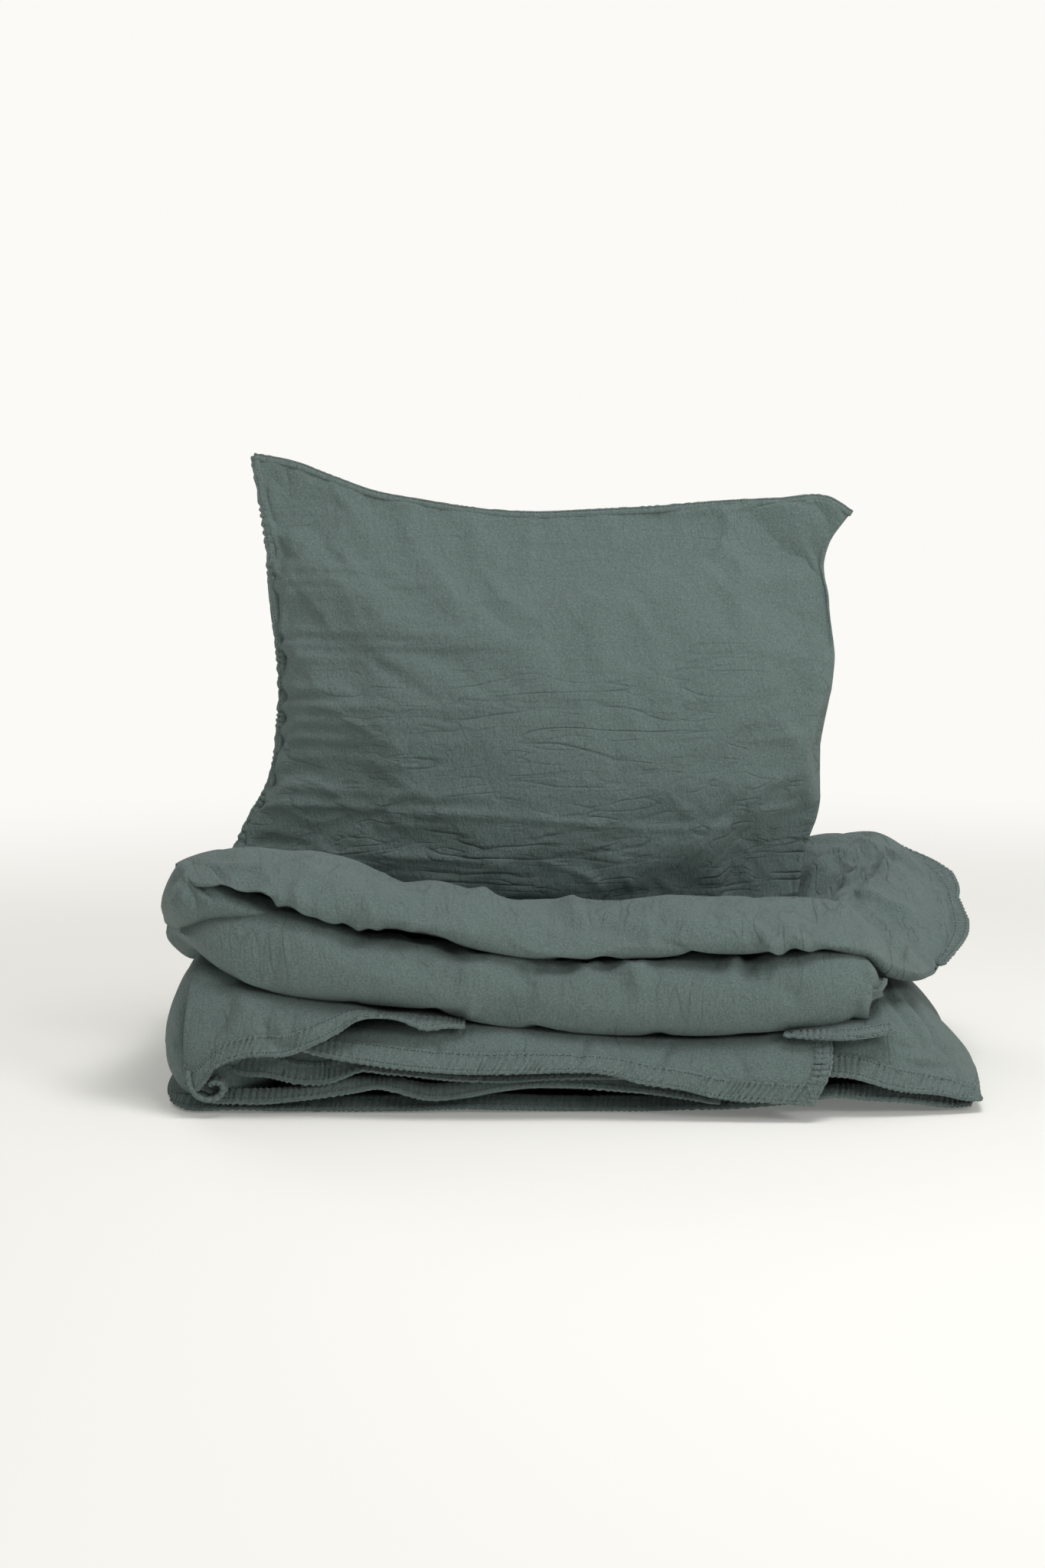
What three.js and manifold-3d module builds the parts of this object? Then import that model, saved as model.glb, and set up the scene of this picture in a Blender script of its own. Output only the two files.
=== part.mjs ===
// A duvet in its cover, folded into a strip, doubled back on itself at the left and laid on the cover's
// loose foot end, with a pillow in a matching case standing in the trough of the upper layer.
// Millimetres. +X is to the right, +Y to the back and +Z up. The origin is on the floor, under the
// middle of the stack.
import * as THREE from "three";
import Module from "manifold-3d";

const wasm = await Module();
wasm.setup();

// ---- Driving dimensions -------------------------------------------------------------------------

// The cloth and its seams
const cloth = 1.2; // one ply of washed cotton, with its crinkle
const hemWidth = 25; // a double-turned hem at the cover's open foot end
const hemThickness = 3;
const flangeWidth = 14; // the double-stitched flange of a side seam
const gap = 0.4; // between pieces that lie on each other

// The folded stack on the floor
const stackWidth = 776;
const stackDepth = 510;

// The foot of the stack: the filled end of the insert, with the cover's loose foot end round it
const footLoft = 40;
const leftFoldWidth = 66; // from the left of the stack to where the filled foot starts
const leftFoldHeight = 104;
const leftFoldInset = 8; // from the strip's folds to the ends of the left fold
const footRightInset = 88; // from the right of the stack
const footBackInset = 22;
const drapeSetback = 9; // from the front of the stack to the outermost draped sheet
const secondSheetInset = { front: 8, back: 10 };
const thirdSheet = { rightInset: 6, shortDeg: 8 }; // shortDeg is how far it ends above the floor
const topSheet = { leftInset: 72, rightInset: 78, shortDeg: 1 };
const rightCorner = { frontInset: 60, backInset: 40, crestOver: 8, kneeAt: 0.45, kneeOut: 12, kneeUp: 6 };

// The pillow
const pillow = {
  topLeft: { x: -300, z: 566 },
  topRight: { x: 262, z: 518 },
  bottomLeft: -332, // x of the lower corners; their height follows the seat
  bottomRight: 236,
  topSag: 30, // how far each edge bows in between its corners
  leftSag: 42,
  rightSag: 8,
  thickness: 150,
  leanDeg: 5,
  foot: 22, // y of the bottom seam
};

// The strip: lower layer, left bend and upper layer. Heights are where the strip lies flat.
const bendReach = 68; // from the left of the stack to where the bend starts
const stripFrontInset = 17;
const stripBackInset = 15;
const lowerRightInset = 126; // from the right of the stack
const upperRightInset = 16;
const lowerLoft = { front: 64, seat: 26, back: 60 };
const upperLoft = { front: 47, seat: 10, back: 64 };
const seatShoulder = 44; // the slope at each side of the trough that the pillow stands in
const climbLength = 420; // how long the strip climbs before its left bend
const cornerFlap = { inside: 66, outside: 24, fromDeg: 24, toDeg: 56 };
const caseFlange = 5; // the seam allowance standing out round the pillowcase
const tickingInset = 14; // the ticking is smaller than the case that it fills
const fillingInset = 28;
const crownClearance = 0.7; // where the filling presses its ticking, and the ticking its case
const seatClearance = 0.7; // between the pillow's lower seam and the seat

// ---- Derived levels -----------------------------------------------------------------------------

const front = -stackDepth / 2;
const back = stackDepth / 2;
const secondSheetZ = hemThickness + gap;
const footInsertZ = secondSheetZ + hemThickness + gap;
const footTop = footInsertZ + footLoft;
const sheetPitch = hemThickness + gap;
const drapedSheets = 2;
const stripZ = footTop + gap + drapedSheets * sheetPitch;
const leftFoldTop = footInsertZ + leftFoldHeight;
const leftRise = leftFoldTop + gap - stripZ; // the strip's left bend lies on the left fold
const left = -stackWidth / 2;
const right = stackWidth / 2;
const footLeftEnd = left + leftFoldWidth;
const footRightEnd = right - footRightInset;
const stripLeft = left + bendReach;
const lowerRight = right - lowerRightInset;
const upperRight = right - upperRightInset;
const riseStart = stripLeft + climbLength;
const seat = {
  from: pillow.foot - pillow.thickness / 2,
  to: pillow.foot + pillow.thickness / 2,
};
const stripFront = front + stripFrontInset;
const stripBack = back - stripBackInset;

// ---- Materials ----------------------------------------------------------------------------------

const fabric = (hex, roughness) =>
  new THREE.MeshStandardMaterial({ color: hex, roughness, metalness: 0 });
const coverCloth = fabric(0x5f6e6b, 0.95);
const hemCloth = fabric(0x596865, 0.95);
const tickingCloth = fabric(0xe9e7e1, 0.9);
const filling = fabric(0xf4f3ef, 1);

// ---- Helpers ------------------------------------------------------------------------------------

const duvetSet = new THREE.Group();

function add(name, geometry, material) {
  const mesh = new THREE.Mesh(geometry, material);
  mesh.name = name;
  duvetSet.add(mesh);
  return mesh;
}

const mix = (a, b, t) => a + (b - a) * t;
const smooth = (t) => {
  const c = Math.min(1, Math.max(0, t));
  return c * c * (3 - 2 * c);
};

// A shape drawn in Y and Z, extruded along X through a list of stations.
function alongX(shape, ...stations) {
  const steps = stations.length - 1;
  const g = new THREE.ExtrudeGeometry(shape, {
    depth: steps,
    steps,
    bevelEnabled: false,
    curveSegments: 6,
  });
  const basis = new THREE.Matrix4().makeBasis(
    new THREE.Vector3(0, 1, 0),
    new THREE.Vector3(0, 0, 1),
    new THREE.Vector3(1, 0, 0),
  );
  g.applyMatrix4(basis);
  const p = g.getAttribute("position");
  for (let i = 0; i < p.count; i++) p.setX(i, stations[Math.round(p.getX(i))]);
  return g;
}

// A shape drawn in X and Z, extruded along Y.
function alongY(shape, from, to) {
  const g = new THREE.ExtrudeGeometry(shape, {
    depth: to - from,
    bevelEnabled: false,
    curveSegments: 8,
  });
  return g.rotateX(Math.PI / 2).translate(0, to, 0);
}

// A thin plate that lies flat: x and y ranges, its underside and its thickness.
function plate(xFrom, xTo, yFrom, yTo, z, thickness) {
  return new THREE.BoxGeometry(
    xTo - xFrom,
    yTo - yFrom,
    thickness,
  ).translate((xFrom + xTo) / 2, (yFrom + yTo) / 2, z + thickness / 2);
}

// The outline of a ribbon of one thickness along a line of points.
function ribbon(points, thickness) {
  const side = (sign) =>
    points.map((p, i) => {
      const before = points[Math.max(0, i - 1)];
      const after = points[Math.min(points.length - 1, i + 1)];
      const along = after.clone().sub(before).normalize();
      return new THREE.Vector2(-along.y, along.x)
        .multiplyScalar((sign * thickness) / 2)
        .add(p);
    });
  return new THREE.Shape([...side(1), ...side(-1).reverse()]);
}

// How far the strip has climbed at x: nothing on the right, most at the left bend.
function rise(x) {
  const t = Math.max(0, (riseStart - x) / climbLength);
  return leftRise * t * t;
}

function climb(geometry) {
  const p = geometry.getAttribute("position");
  for (let i = 0; i < p.count; i++) p.setZ(i, p.getZ(i) + rise(p.getX(i)));
  return geometry;
}

// ---- Sections of the strip ----------------------------------------------------------------------

// The value at y of something that differs at the front fold, under the pillow and at the back fold.
function acrossDepth(values, y) {
  const intoSeat = smooth((y - (seat.from - seatShoulder)) / seatShoulder);
  const outOfSeat = smooth((y - seat.to) / seatShoulder);
  return mix(mix(values.front, values.seat, intoSeat), values.back, outOfSeat);
}

const lowerTopAt = (y) => stripZ + acrossDepth(lowerLoft, y);
const upperBottomAt = (y) => lowerTopAt(y) + gap;
const upperTopAt = (y) => upperBottomAt(y) + acrossDepth(upperLoft, y);
const seatTop = stripZ + lowerLoft.seat + gap + upperLoft.seat;

const layers = {
  lower: { bottom: () => stripZ, top: lowerTopAt, loft: lowerLoft },
  upper: { bottom: upperBottomAt, top: upperTopAt, loft: upperLoft },
};

const foldDegrees = [0, 18, 36, 54, 72, 90];

// [y, bottom, top] of a layer's section, drawn in by inset: round its front fold, over the two
// shoulders of the seat and round its back fold.
function sectionAt(layer, inset) {
  const stop = (y, round) => {
    const middle = (layer.bottom(y) + layer.top(y)) / 2;
    const half = ((layer.top(y) - layer.bottom(y)) / 2 - inset) * round;
    return [y, middle - half, middle + half];
  };
  const fold = (edge, radius, inwards) =>
    foldDegrees.map((deg) => {
      const a = THREE.MathUtils.degToRad(deg);
      return stop(edge + inwards * (radius - (radius - inset) * Math.cos(a)), Math.sin(a));
    });
  const shoulders = [-1, -0.5, 0].map((share) => stop(seat.from + share * seatShoulder, 1));
  const rearShoulders = [0, 0.5, 1].map((share) => stop(seat.to + share * seatShoulder, 1));
  return [
    ...fold(stripFront, layer.loft.front / 2, 1),
    ...shoulders,
    ...rearShoulders,
    ...fold(stripBack, layer.loft.back / 2, -1).reverse(),
  ];
}

function sectionOutline(layer, inset) {
  const stops = sectionAt(layer, inset);
  const under = stops.map(([y, low]) => new THREE.Vector2(y, low));
  const over = stops.slice(1, -1).map(([y, , high]) => new THREE.Vector2(y, high));
  return [...under, ...over.reverse()];
}

// The stations where the climbing stretch bends, the same for every layer so that they nest.
const climbSteps = 7;
const climbStations = Array.from({ length: climbSteps }, (_, i) =>
  mix(stripLeft, riseStart, (i + 1) / climbSteps),
);

function sleeve(layer, from, to) {
  const shape = new THREE.Shape(sectionOutline(layer, 0));
  shape.holes.push(new THREE.Path(sectionOutline(layer, cloth)));
  return climb(alongX(shape, from, ...climbStations, to));
}

function core(layer, from, to) {
  const shape = new THREE.Shape(sectionOutline(layer, cloth + gap));
  return climb(alongX(shape, from, ...climbStations, to));
}

// ---- The left bend ------------------------------------------------------------------------------

const bendSteps = 9;

// The strip's section carried round the bend as a solid: each point of the lower layer's section
// swings on a half circle to the upper layer's. overrun carries both ends past the bend, for a cut.
function bendSolid(inset, overrun) {
  const low = sectionAt(layers.lower, inset);
  const high = sectionAt(layers.upper, inset);
  const outer = low.map(([y, z], i) => ({ y: [y, high[i][0]], from: z, to: high[i][2] }));
  const inner = low.map(([y, , z], i) => ({ y: [y, high[i][0]], from: z, to: high[i][1] }));
  const loop = [...outer, ...inner.slice(1, -1).reverse()];
  const stations = [
    ...(overrun ? [{ x: overrun, angle: 0 }] : []),
    ...Array.from({ length: bendSteps + 1 }, (_, k) => ({
      x: 0,
      angle: (Math.PI * k) / bendSteps,
    })),
    ...(overrun ? [{ x: overrun, angle: Math.PI }] : []),
  ];
  const positions = [];
  for (const { x, angle } of stations) {
    for (const { y, from, to } of loop) {
      const radius = (to - from) / 2;
      positions.push(
        stripLeft + x - radius * Math.sin(angle),
        mix(y[0], y[1], angle / Math.PI),
        (from + to) / 2 - radius * Math.cos(angle) + rise(stripLeft),
      );
    }
  }
  const n = loop.length;
  const faces = [];
  for (let k = 0; k < stations.length - 1; k++) {
    for (let i = 0; i < n; i++) {
      const a = k * n + i;
      const b = k * n + ((i + 1) % n);
      faces.push(a, a + n, b, b, a + n, b + n);
    }
  }
  const capFaces = (station) =>
    THREE.ShapeUtils.triangulateShape(
      loop.map((p, i) => {
        const at = 3 * (station * n + i);
        return new THREE.Vector2(positions[at + 1], positions[at + 2]);
      }),
      [],
    );
  const last = stations.length - 1;
  for (const [a, b, c] of capFaces(0)) faces.push(a, b, c);
  for (const [a, b, c] of capFaces(last)) {
    faces.push(last * n + a, last * n + b, last * n + c);
  }
  return new wasm.Manifold(
    new wasm.Mesh({
      numProp: 3,
      vertProperties: new Float32Array(positions),
      triVerts: new Uint32Array(faces),
    }),
  );
}

function geometryOf(solid) {
  const mesh = solid.getMesh();
  const g = new THREE.BufferGeometry();
  g.setAttribute("position", new THREE.BufferAttribute(mesh.vertProperties, 3));
  g.setIndex(new THREE.BufferAttribute(mesh.triVerts, 1));
  return g;
}

// ---- The foot of the stack ----------------------------------------------------------------------

// Draped sheets go flat over the top of the foot, then round its front fold and down. Level 0 lies
// on the filling, level 1 on level 0. Angles run from the top of the fold down.
const drapeCentre = { y: front + drapeSetback + drapedSheets * sheetPitch + footTop, z: 0 };
const drapeRadius = (level) => footTop + gap + (level + 0.5) * sheetPitch;

// The angle at which a draped sheet is about to touch the sheets that lie on the floor.
const drapeFloorDeg = (level) =>
  THREE.MathUtils.radToDeg(Math.acos((footInsertZ + hemThickness / 2) / drapeRadius(level)));

const drapeStepDeg = 12;

function drapeLine(level, backEnd, startDeg, endDeg) {
  const radius = drapeRadius(level);
  const count = Math.ceil((endDeg - startDeg) / drapeStepDeg) + 1;
  const arc = Array.from({ length: count }, (_, i) => {
    const a = THREE.MathUtils.degToRad(mix(startDeg, endDeg, i / (count - 1)));
    return new THREE.Vector2(
      drapeCentre.y - radius * Math.sin(a),
      drapeCentre.z + radius * Math.cos(a),
    );
  });
  if (backEnd !== null) arc.unshift(new THREE.Vector2(backEnd, radius + drapeCentre.z));
  return arc;
}

// How far round the drape the hem reaches back, in degrees.
const hemAngle = (level) => THREE.MathUtils.radToDeg(hemWidth / drapeRadius(level));
const gapAngle = THREE.MathUtils.radToDeg(gap / footTop);

// A sheet of the cover's foot end, draped over the front, with its hem as a piece of its own.
function drapedSheet(name, level, xFrom, xTo, shortDeg, sideSeam) {
  const endDeg = drapeFloorDeg(level) - shortDeg;
  const hemFrom = endDeg - hemAngle(level);
  const sheetTo = sideSeam ? xTo - flangeWidth - gap : xTo;
  const sheetLine = drapeLine(level, back - footBackInset, 0, hemFrom - gapAngle);
  add(name, alongX(ribbon(sheetLine, cloth), xFrom, sheetTo), coverCloth);
  const hemLine = drapeLine(level, null, hemFrom, endDeg);
  add(`${name}_hem`, alongX(ribbon(hemLine, hemThickness), xFrom, sheetTo), hemCloth);
  if (sideSeam) {
    const seamLine = drapeLine(level, back - footBackInset, 0, endDeg);
    const seam = alongX(ribbon(seamLine, hemThickness), xTo - flangeWidth, xTo);
    add(`${name}_side_seam`, seam, hemCloth);
  }
}

// The two sheets that lie flat on the floor, one on the other, each with its hem in front.
function floorSheet(name, z, xFrom, xTo, yFront, yBack) {
  const hemBack = yFront + hemWidth;
  add(name, plate(xFrom, xTo, hemBack + gap, yBack, z, cloth), coverCloth);
  add(`${name}_hem`, plate(xFrom, xTo, yFront, hemBack, z, hemThickness), hemCloth);
}

function footInsert() {
  const shape = new THREE.Shape();
  const backEnd = back - footBackInset - cloth;
  const footBackRadius = footLoft / 2;
  const lowest = footInsertZ;
  const toFloor = Math.PI - Math.asin(lowest / footTop);
  shape.moveTo(backEnd - footBackRadius, lowest);
  shape.absarc(
    backEnd - footBackRadius,
    lowest + footBackRadius,
    footBackRadius,
    -Math.PI / 2,
    Math.PI / 2,
    false,
  );
  shape.lineTo(drapeCentre.y, footTop);
  shape.absarc(drapeCentre.y, 0, footTop, Math.PI / 2, toFloor, false);
  return alongX(shape, footLeftEnd, footRightEnd);
}

// The rounded fold that closes the foot of the stack at the left: a sleeve of cover over filling.
function leftFoldShape(inset) {
  const half = leftFoldHeight / 2 - inset;
  const middle = footInsertZ + leftFoldHeight / 2;
  const wall = footLeftEnd - gap - inset;
  const reach = wall - left - inset;
  const shape = new THREE.Shape();
  shape.moveTo(wall, middle - half);
  shape.lineTo(wall, middle + half);
  shape.absellipse(wall, middle, reach, half, Math.PI / 2, 1.5 * Math.PI, false, 0);
  return shape;
}

// The cover's loose side at the right: it leaves the lower layer's side seam, passes over the foot
// and slopes to the floor, where its own seam ends it.
function cornerRight() {
  const leaveZ = stripZ + lowerLoft.seat - cloth;
  const { crestOver, kneeAt, kneeOut, kneeUp } = rightCorner;
  const toe = new THREE.Vector2(right - hemThickness, footInsertZ + hemThickness / 2);
  const crest = new THREE.Vector2(footRightEnd + crestOver, leaveZ - 2 * cloth);
  const knee = toe.clone().lerp(crest, kneeAt).add(new THREE.Vector2(kneeOut, kneeUp));
  const seamStart = toe.clone().lerp(knee, hemWidth / toe.distanceTo(knee));
  const sheetEnd = toe.clone().lerp(knee, (hemWidth + gap) / toe.distanceTo(knee));
  const cornerFront = front + rightCorner.frontInset;
  const cornerBack = back - rightCorner.backInset;
  const start = new THREE.Vector2(lowerRight + gap, leaveZ);
  const sheet = ribbon([start, crest, knee, sheetEnd], cloth);
  add("foot_corner_right", alongY(sheet, cornerFront, cornerBack), coverCloth);
  const seam = ribbon([seamStart, toe], hemThickness);
  add("foot_corner_right_seam", alongY(seam, cornerFront, cornerBack), hemCloth);
}

function buildFoot() {
  floorSheet("foot_sheet_bottom", 0, left, right, front, back);
  const secondFront = front + secondSheetInset.front;
  const secondBack = back - secondSheetInset.back;
  floorSheet("foot_sheet_second", secondSheetZ, footLeftEnd, footRightEnd, secondFront, secondBack);
  add("insert_foot", footInsert(), tickingCloth);

  const thirdRight = footRightEnd - thirdSheet.rightInset;
  drapedSheet("foot_sheet_third", 0, footLeftEnd, thirdRight, thirdSheet.shortDeg, false);
  const topLeft = footLeftEnd + topSheet.leftInset;
  const topRight = footRightEnd - topSheet.rightInset;
  drapedSheet("foot_sheet_top", 1, topLeft, topRight, topSheet.shortDeg, true);

  const foldFront = stripFront + leftFoldInset;
  const foldBack = stripBack - leftFoldInset;
  const fold = leftFoldShape(0);
  fold.holes.push(new THREE.Path(leftFoldShape(cloth).getPoints(8)));
  add("cover_left_fold", alongY(fold, foldFront, foldBack), coverCloth);
  add("insert_left_fold", alongY(leftFoldShape(cloth + gap), foldFront, foldBack), tickingCloth);
  cornerRight();
}

// ---- The strip ----------------------------------------------------------------------------------

// The cloth that closes a layer's right end, and the stitched flange of the side seam on it.
function layerEnd(name, layer, x) {
  const panel = new THREE.Shape(sectionOutline(layer, 0));
  add(`${name}_end_panel`, climb(alongX(panel, x, x + cloth)), coverCloth);
  const middle = sectionAt(layer, 0)
    .slice(1, -1)
    .map(([y, low, high]) => new THREE.Vector2(y, (low + high) / 2));
  const seamFrom = x + cloth + gap;
  const seam = alongX(ribbon(middle, hemThickness), seamFrom, seamFrom + flangeWidth);
  add(`${name}_side_seam`, climb(seam), hemCloth);
}

function buildStrip() {
  const from = stripLeft + gap;
  for (const [name, end] of [
    ["lower", lowerRight],
    ["upper", upperRight],
  ]) {
    const layer = layers[name];
    const endPanelX = end - flangeWidth - 2 * gap - cloth;
    add(`cover_${name}_layer`, sleeve(layer, from, endPanelX - gap), coverCloth);
    add(`insert_${name}_layer`, core(layer, from, endPanelX - gap), tickingCloth);
    layerEnd(`cover_${name}`, layer, endPanelX);
  }
  const { inside, outside, fromDeg, toDeg } = cornerFlap;
  const flapLine = drapeLine(drapedSheets, null, fromDeg, toDeg);
  const flap = alongX(ribbon(flapLine, hemThickness), lowerRight - inside, lowerRight + outside);
  add("cover_corner_flap", flap, hemCloth);

  const shell = bendSolid(0, 0).subtract(bendSolid(cloth, 2));
  add("cover_bend", geometryOf(shell), coverCloth);
  add("insert_bend", geometryOf(bendSolid(cloth + gap, 0)), tickingCloth);
}

// ---- The pillow ---------------------------------------------------------------------------------

// The lowest height for the pillow at x: just clear of the seat, climbing with the strip.
const seatAt = (x) => seatTop + rise(x) + seatClearance;

// A point of the pillow's outline plane, u from left to right and v from bottom to top, 0 to 1.
function pillowPoint(u, v, inset) {
  const p = pillow;
  const bow = (t) => 4 * t * (1 - t);
  const leftX = mix(p.bottomLeft, p.topLeft.x, v) + p.leftSag * bow(v);
  const rightX = mix(p.bottomRight, p.topRight.x, v) - p.rightSag * bow(v);
  const x = mix(leftX + inset, rightX - inset, u);
  const bottomZ = seatAt(x) + caseFlange + inset;
  const topZ = mix(p.topLeft.z, p.topRight.z, u) - p.topSag * bow(u) - inset;
  return { x, z: mix(bottomZ, topZ, v) };
}

const settled = 0.85; // below 1, the filling has settled and the pillow is fullest below its middle

// Half the pillow's thickness at u, v: nothing at the seams, rising fast to a broad crown.
function crown(u, v) {
  const across = Math.sqrt(Math.max(0, Math.sin(Math.PI * u)));
  const up = Math.sqrt(Math.max(0, Math.sin(Math.PI * v ** settled)));
  return across * up;
}

const pillowColumns = 16;
const pillowRows = 14;

// Closes the grid lines up towards both edges, where the crown is steep. t runs from -0.5 to 0.5.
const towardsEdges = (t) => (1 + Math.sin(Math.PI * t)) / 2;

// A closed body between two crowned surfaces, near and far being half thicknesses at a crown of 1.
function crowned(inset, near, far, edge) {
  const g = new THREE.BoxGeometry(1, 1, 1, pillowColumns, 1, pillowRows);
  const p = g.getAttribute("position");
  const lean = Math.tan(THREE.MathUtils.degToRad(pillow.leanDeg));
  for (let i = 0; i < p.count; i++) {
    const u = towardsEdges(p.getX(i));
    const v = towardsEdges(p.getZ(i));
    const isFar = p.getY(i) > 0;
    const { x, z } = pillowPoint(u, v, inset);
    const swell = crown(u, v) * (isFar ? far : near) + (isFar ? edge.far : edge.near);
    const y = pillow.foot + (z - seatTop) * lean + swell;
    p.setXYZ(i, x, y, z);
  }
  return g;
}

// A strip of seam allowance along one edge of the case, standing out from it.
function caseSeam(name, along) {
  const half = hemThickness / 2;
  const g = new THREE.BoxGeometry(1, 1, 1, pillowColumns, 1, 1);
  const p = g.getAttribute("position");
  const lean = Math.tan(THREE.MathUtils.degToRad(pillow.leanDeg));
  for (let i = 0; i < p.count; i++) {
    const { x, z } = along(towardsEdges(p.getX(i)), p.getZ(i) > 0 ? caseFlange : gap);
    const y = pillow.foot + (z - seatTop) * lean + (p.getY(i) > 0 ? half : -half);
    p.setXYZ(i, x, y, z);
  }
  add(name, g, hemCloth);
}

function buildPillow() {
  const ply = { near: gap / 2, far: gap / 2 + cloth }; // the two plies where they meet at the seams
  const caseHalf = pillow.thickness / 2;
  const caseInside = caseHalf - cloth + ply.near;
  const tickingHalf = caseInside - crownClearance - ply.far;
  const tickingInside = tickingHalf - cloth + ply.near;
  const fillingHalf = tickingInside - crownClearance - cloth;

  function shell(name, inset, half, material) {
    const frontEdge = { near: -ply.far, far: -ply.near };
    add(`${name}_front`, crowned(inset, -half, cloth - half, frontEdge), material);
    add(`${name}_back`, crowned(inset, half - cloth, half, ply), material);
  }
  shell("pillowcase", 0, caseHalf, coverCloth);
  shell("pillow_ticking", tickingInset, tickingHalf, tickingCloth);
  const fillingEdge = { near: -cloth, far: cloth };
  add("pillow_filling", crowned(fillingInset, -fillingHalf, fillingHalf, fillingEdge), filling);

  const offset = (point, dx, dz) => ({ x: point.x + dx, z: point.z + dz });
  caseSeam("pillowcase_top_seam", (t, out) => offset(pillowPoint(t, 1, 0), 0, out));
  caseSeam("pillowcase_bottom_seam", (t, out) => offset(pillowPoint(1 - t, 0, 0), 0, -out));
  caseSeam("pillowcase_left_seam", (t, out) => offset(pillowPoint(0, t, 0), -out, 0));
  caseSeam("pillowcase_right_hem", (t, out) => offset(pillowPoint(1, 1 - t, 0), out, 0));
}

buildFoot();
buildStrip();
buildPillow();

export default duvetSet;
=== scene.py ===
"""A folded duvet in a washed-cotton cover, with a pillow in the matching case standing in its top fold.
Metres. +X right, +Y back, +Z up, with the floor at z = 0."""
import math

import bmesh
import bpy
import numpy as np
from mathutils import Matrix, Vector
from mathutils.bvhtree import BVHTree


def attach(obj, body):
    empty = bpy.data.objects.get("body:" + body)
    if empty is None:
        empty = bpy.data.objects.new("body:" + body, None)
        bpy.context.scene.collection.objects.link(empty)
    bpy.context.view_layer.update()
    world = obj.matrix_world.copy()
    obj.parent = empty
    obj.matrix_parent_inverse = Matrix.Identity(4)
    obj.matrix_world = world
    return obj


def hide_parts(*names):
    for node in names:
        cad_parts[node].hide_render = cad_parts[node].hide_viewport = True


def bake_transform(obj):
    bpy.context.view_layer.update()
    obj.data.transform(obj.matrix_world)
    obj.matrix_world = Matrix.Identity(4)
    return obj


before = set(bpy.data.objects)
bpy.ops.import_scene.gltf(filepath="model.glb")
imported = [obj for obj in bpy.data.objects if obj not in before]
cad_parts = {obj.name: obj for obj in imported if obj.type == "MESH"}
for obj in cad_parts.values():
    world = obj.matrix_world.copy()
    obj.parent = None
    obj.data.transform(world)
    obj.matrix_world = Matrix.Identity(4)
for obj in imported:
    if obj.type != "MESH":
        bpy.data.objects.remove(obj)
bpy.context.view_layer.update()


# ---- Camera, floor and light ---------------------------------------------------------------------
# A long lens a little above the floor. The floor and the room are one pale cream, and the light is
# soft: a panel overhead, one from the front right, a weaker one behind, and the bright room around.

camera_height_deg = 7.0
camera_distance = 3.0
camera_aim = Vector((-0.047, 0.0, 0.27))
tilt = math.radians(camera_height_deg)
camera_data = bpy.data.cameras.new("camera")
camera_data.sensor_width = 36.0
camera_data.lens = 71.75
camera = bpy.data.objects.new("camera", camera_data)
camera.location = camera_aim + camera_distance * Vector((0, -math.cos(tilt), math.sin(tilt)))
camera.rotation_euler = (math.pi / 2 - tilt, 0, 0)
bpy.context.collection.objects.link(camera)
bpy.context.scene.camera = camera
bpy.context.scene.view_settings.view_transform = "Standard"

cream = (0.965, 0.956, 0.922, 1)

bpy.ops.mesh.primitive_plane_add(size=40)
floor = bpy.context.object
floor.name = "floor"
floor_finish = bpy.data.materials.new("pale_floor")
floor_finish.use_nodes = True
nodes, links = floor_finish.node_tree.nodes, floor_finish.node_tree.links
floor_shader = nodes["Principled BSDF"]
floor_shader.inputs["Roughness"].default_value = 1.0
floor_shader.inputs["Specular IOR Level"].default_value = 0.0
floor_shader.inputs["Emission Strength"].default_value = 1.0
# Away from the object the floor melts into the room, so that no horizon shows.
away = nodes.new("ShaderNodeVectorMath")
away.operation = "LENGTH"
fade = nodes.new("ShaderNodeMapRange")
fade.interpolation_type = "SMOOTHSTEP"
fade.inputs["From Min"].default_value = 0.7
fade.inputs["From Max"].default_value = 2.2
links.new(nodes.new("ShaderNodeNewGeometry").outputs["Position"], away.inputs[0])
links.new(away.outputs["Value"], fade.inputs["Value"])
for socket, near, far in (
    ("Base Color", (0.93, 0.921, 0.888, 1), (0, 0, 0, 1)),
    ("Emission Color", (0.13, 0.129, 0.124, 1), cream),
):
    blend = nodes.new("ShaderNodeMix")
    blend.data_type = "RGBA"
    blend.inputs["A"].default_value = near
    blend.inputs["B"].default_value = far
    links.new(fade.outputs["Result"], blend.inputs["Factor"])
    links.new(blend.outputs["Result"], floor_shader.inputs[socket])
floor.data.materials.append(floor_finish)

# The camera sees the room in the same cream, but most of the room's light comes from overhead.
room = bpy.data.worlds.new("studio")
room.use_nodes = True
nodes, links = room.node_tree.nodes, room.node_tree.links
direction = nodes.new("ShaderNodeTexCoord")
height = nodes.new("ShaderNodeSeparateXYZ")
overhead = nodes.new("ShaderNodeMapRange")
for socket, value in (("From Min", 0.0), ("From Max", 1.0), ("To Min", 0.21), ("To Max", 0.46)):
    overhead.inputs[socket].default_value = value
seen_by = nodes.new("ShaderNodeLightPath")
strength = nodes.new("ShaderNodeMix")
strength.inputs["B"].default_value = 1.0
links.new(direction.outputs["Generated"], height.inputs[0])
links.new(height.outputs["Z"], overhead.inputs["Value"])
links.new(overhead.outputs["Result"], strength.inputs["A"])
links.new(seen_by.outputs["Is Camera Ray"], strength.inputs["Factor"])
links.new(strength.outputs["Result"], nodes["Background"].inputs["Strength"])
nodes["Background"].inputs["Color"].default_value = cream
bpy.context.scene.world = room


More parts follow.
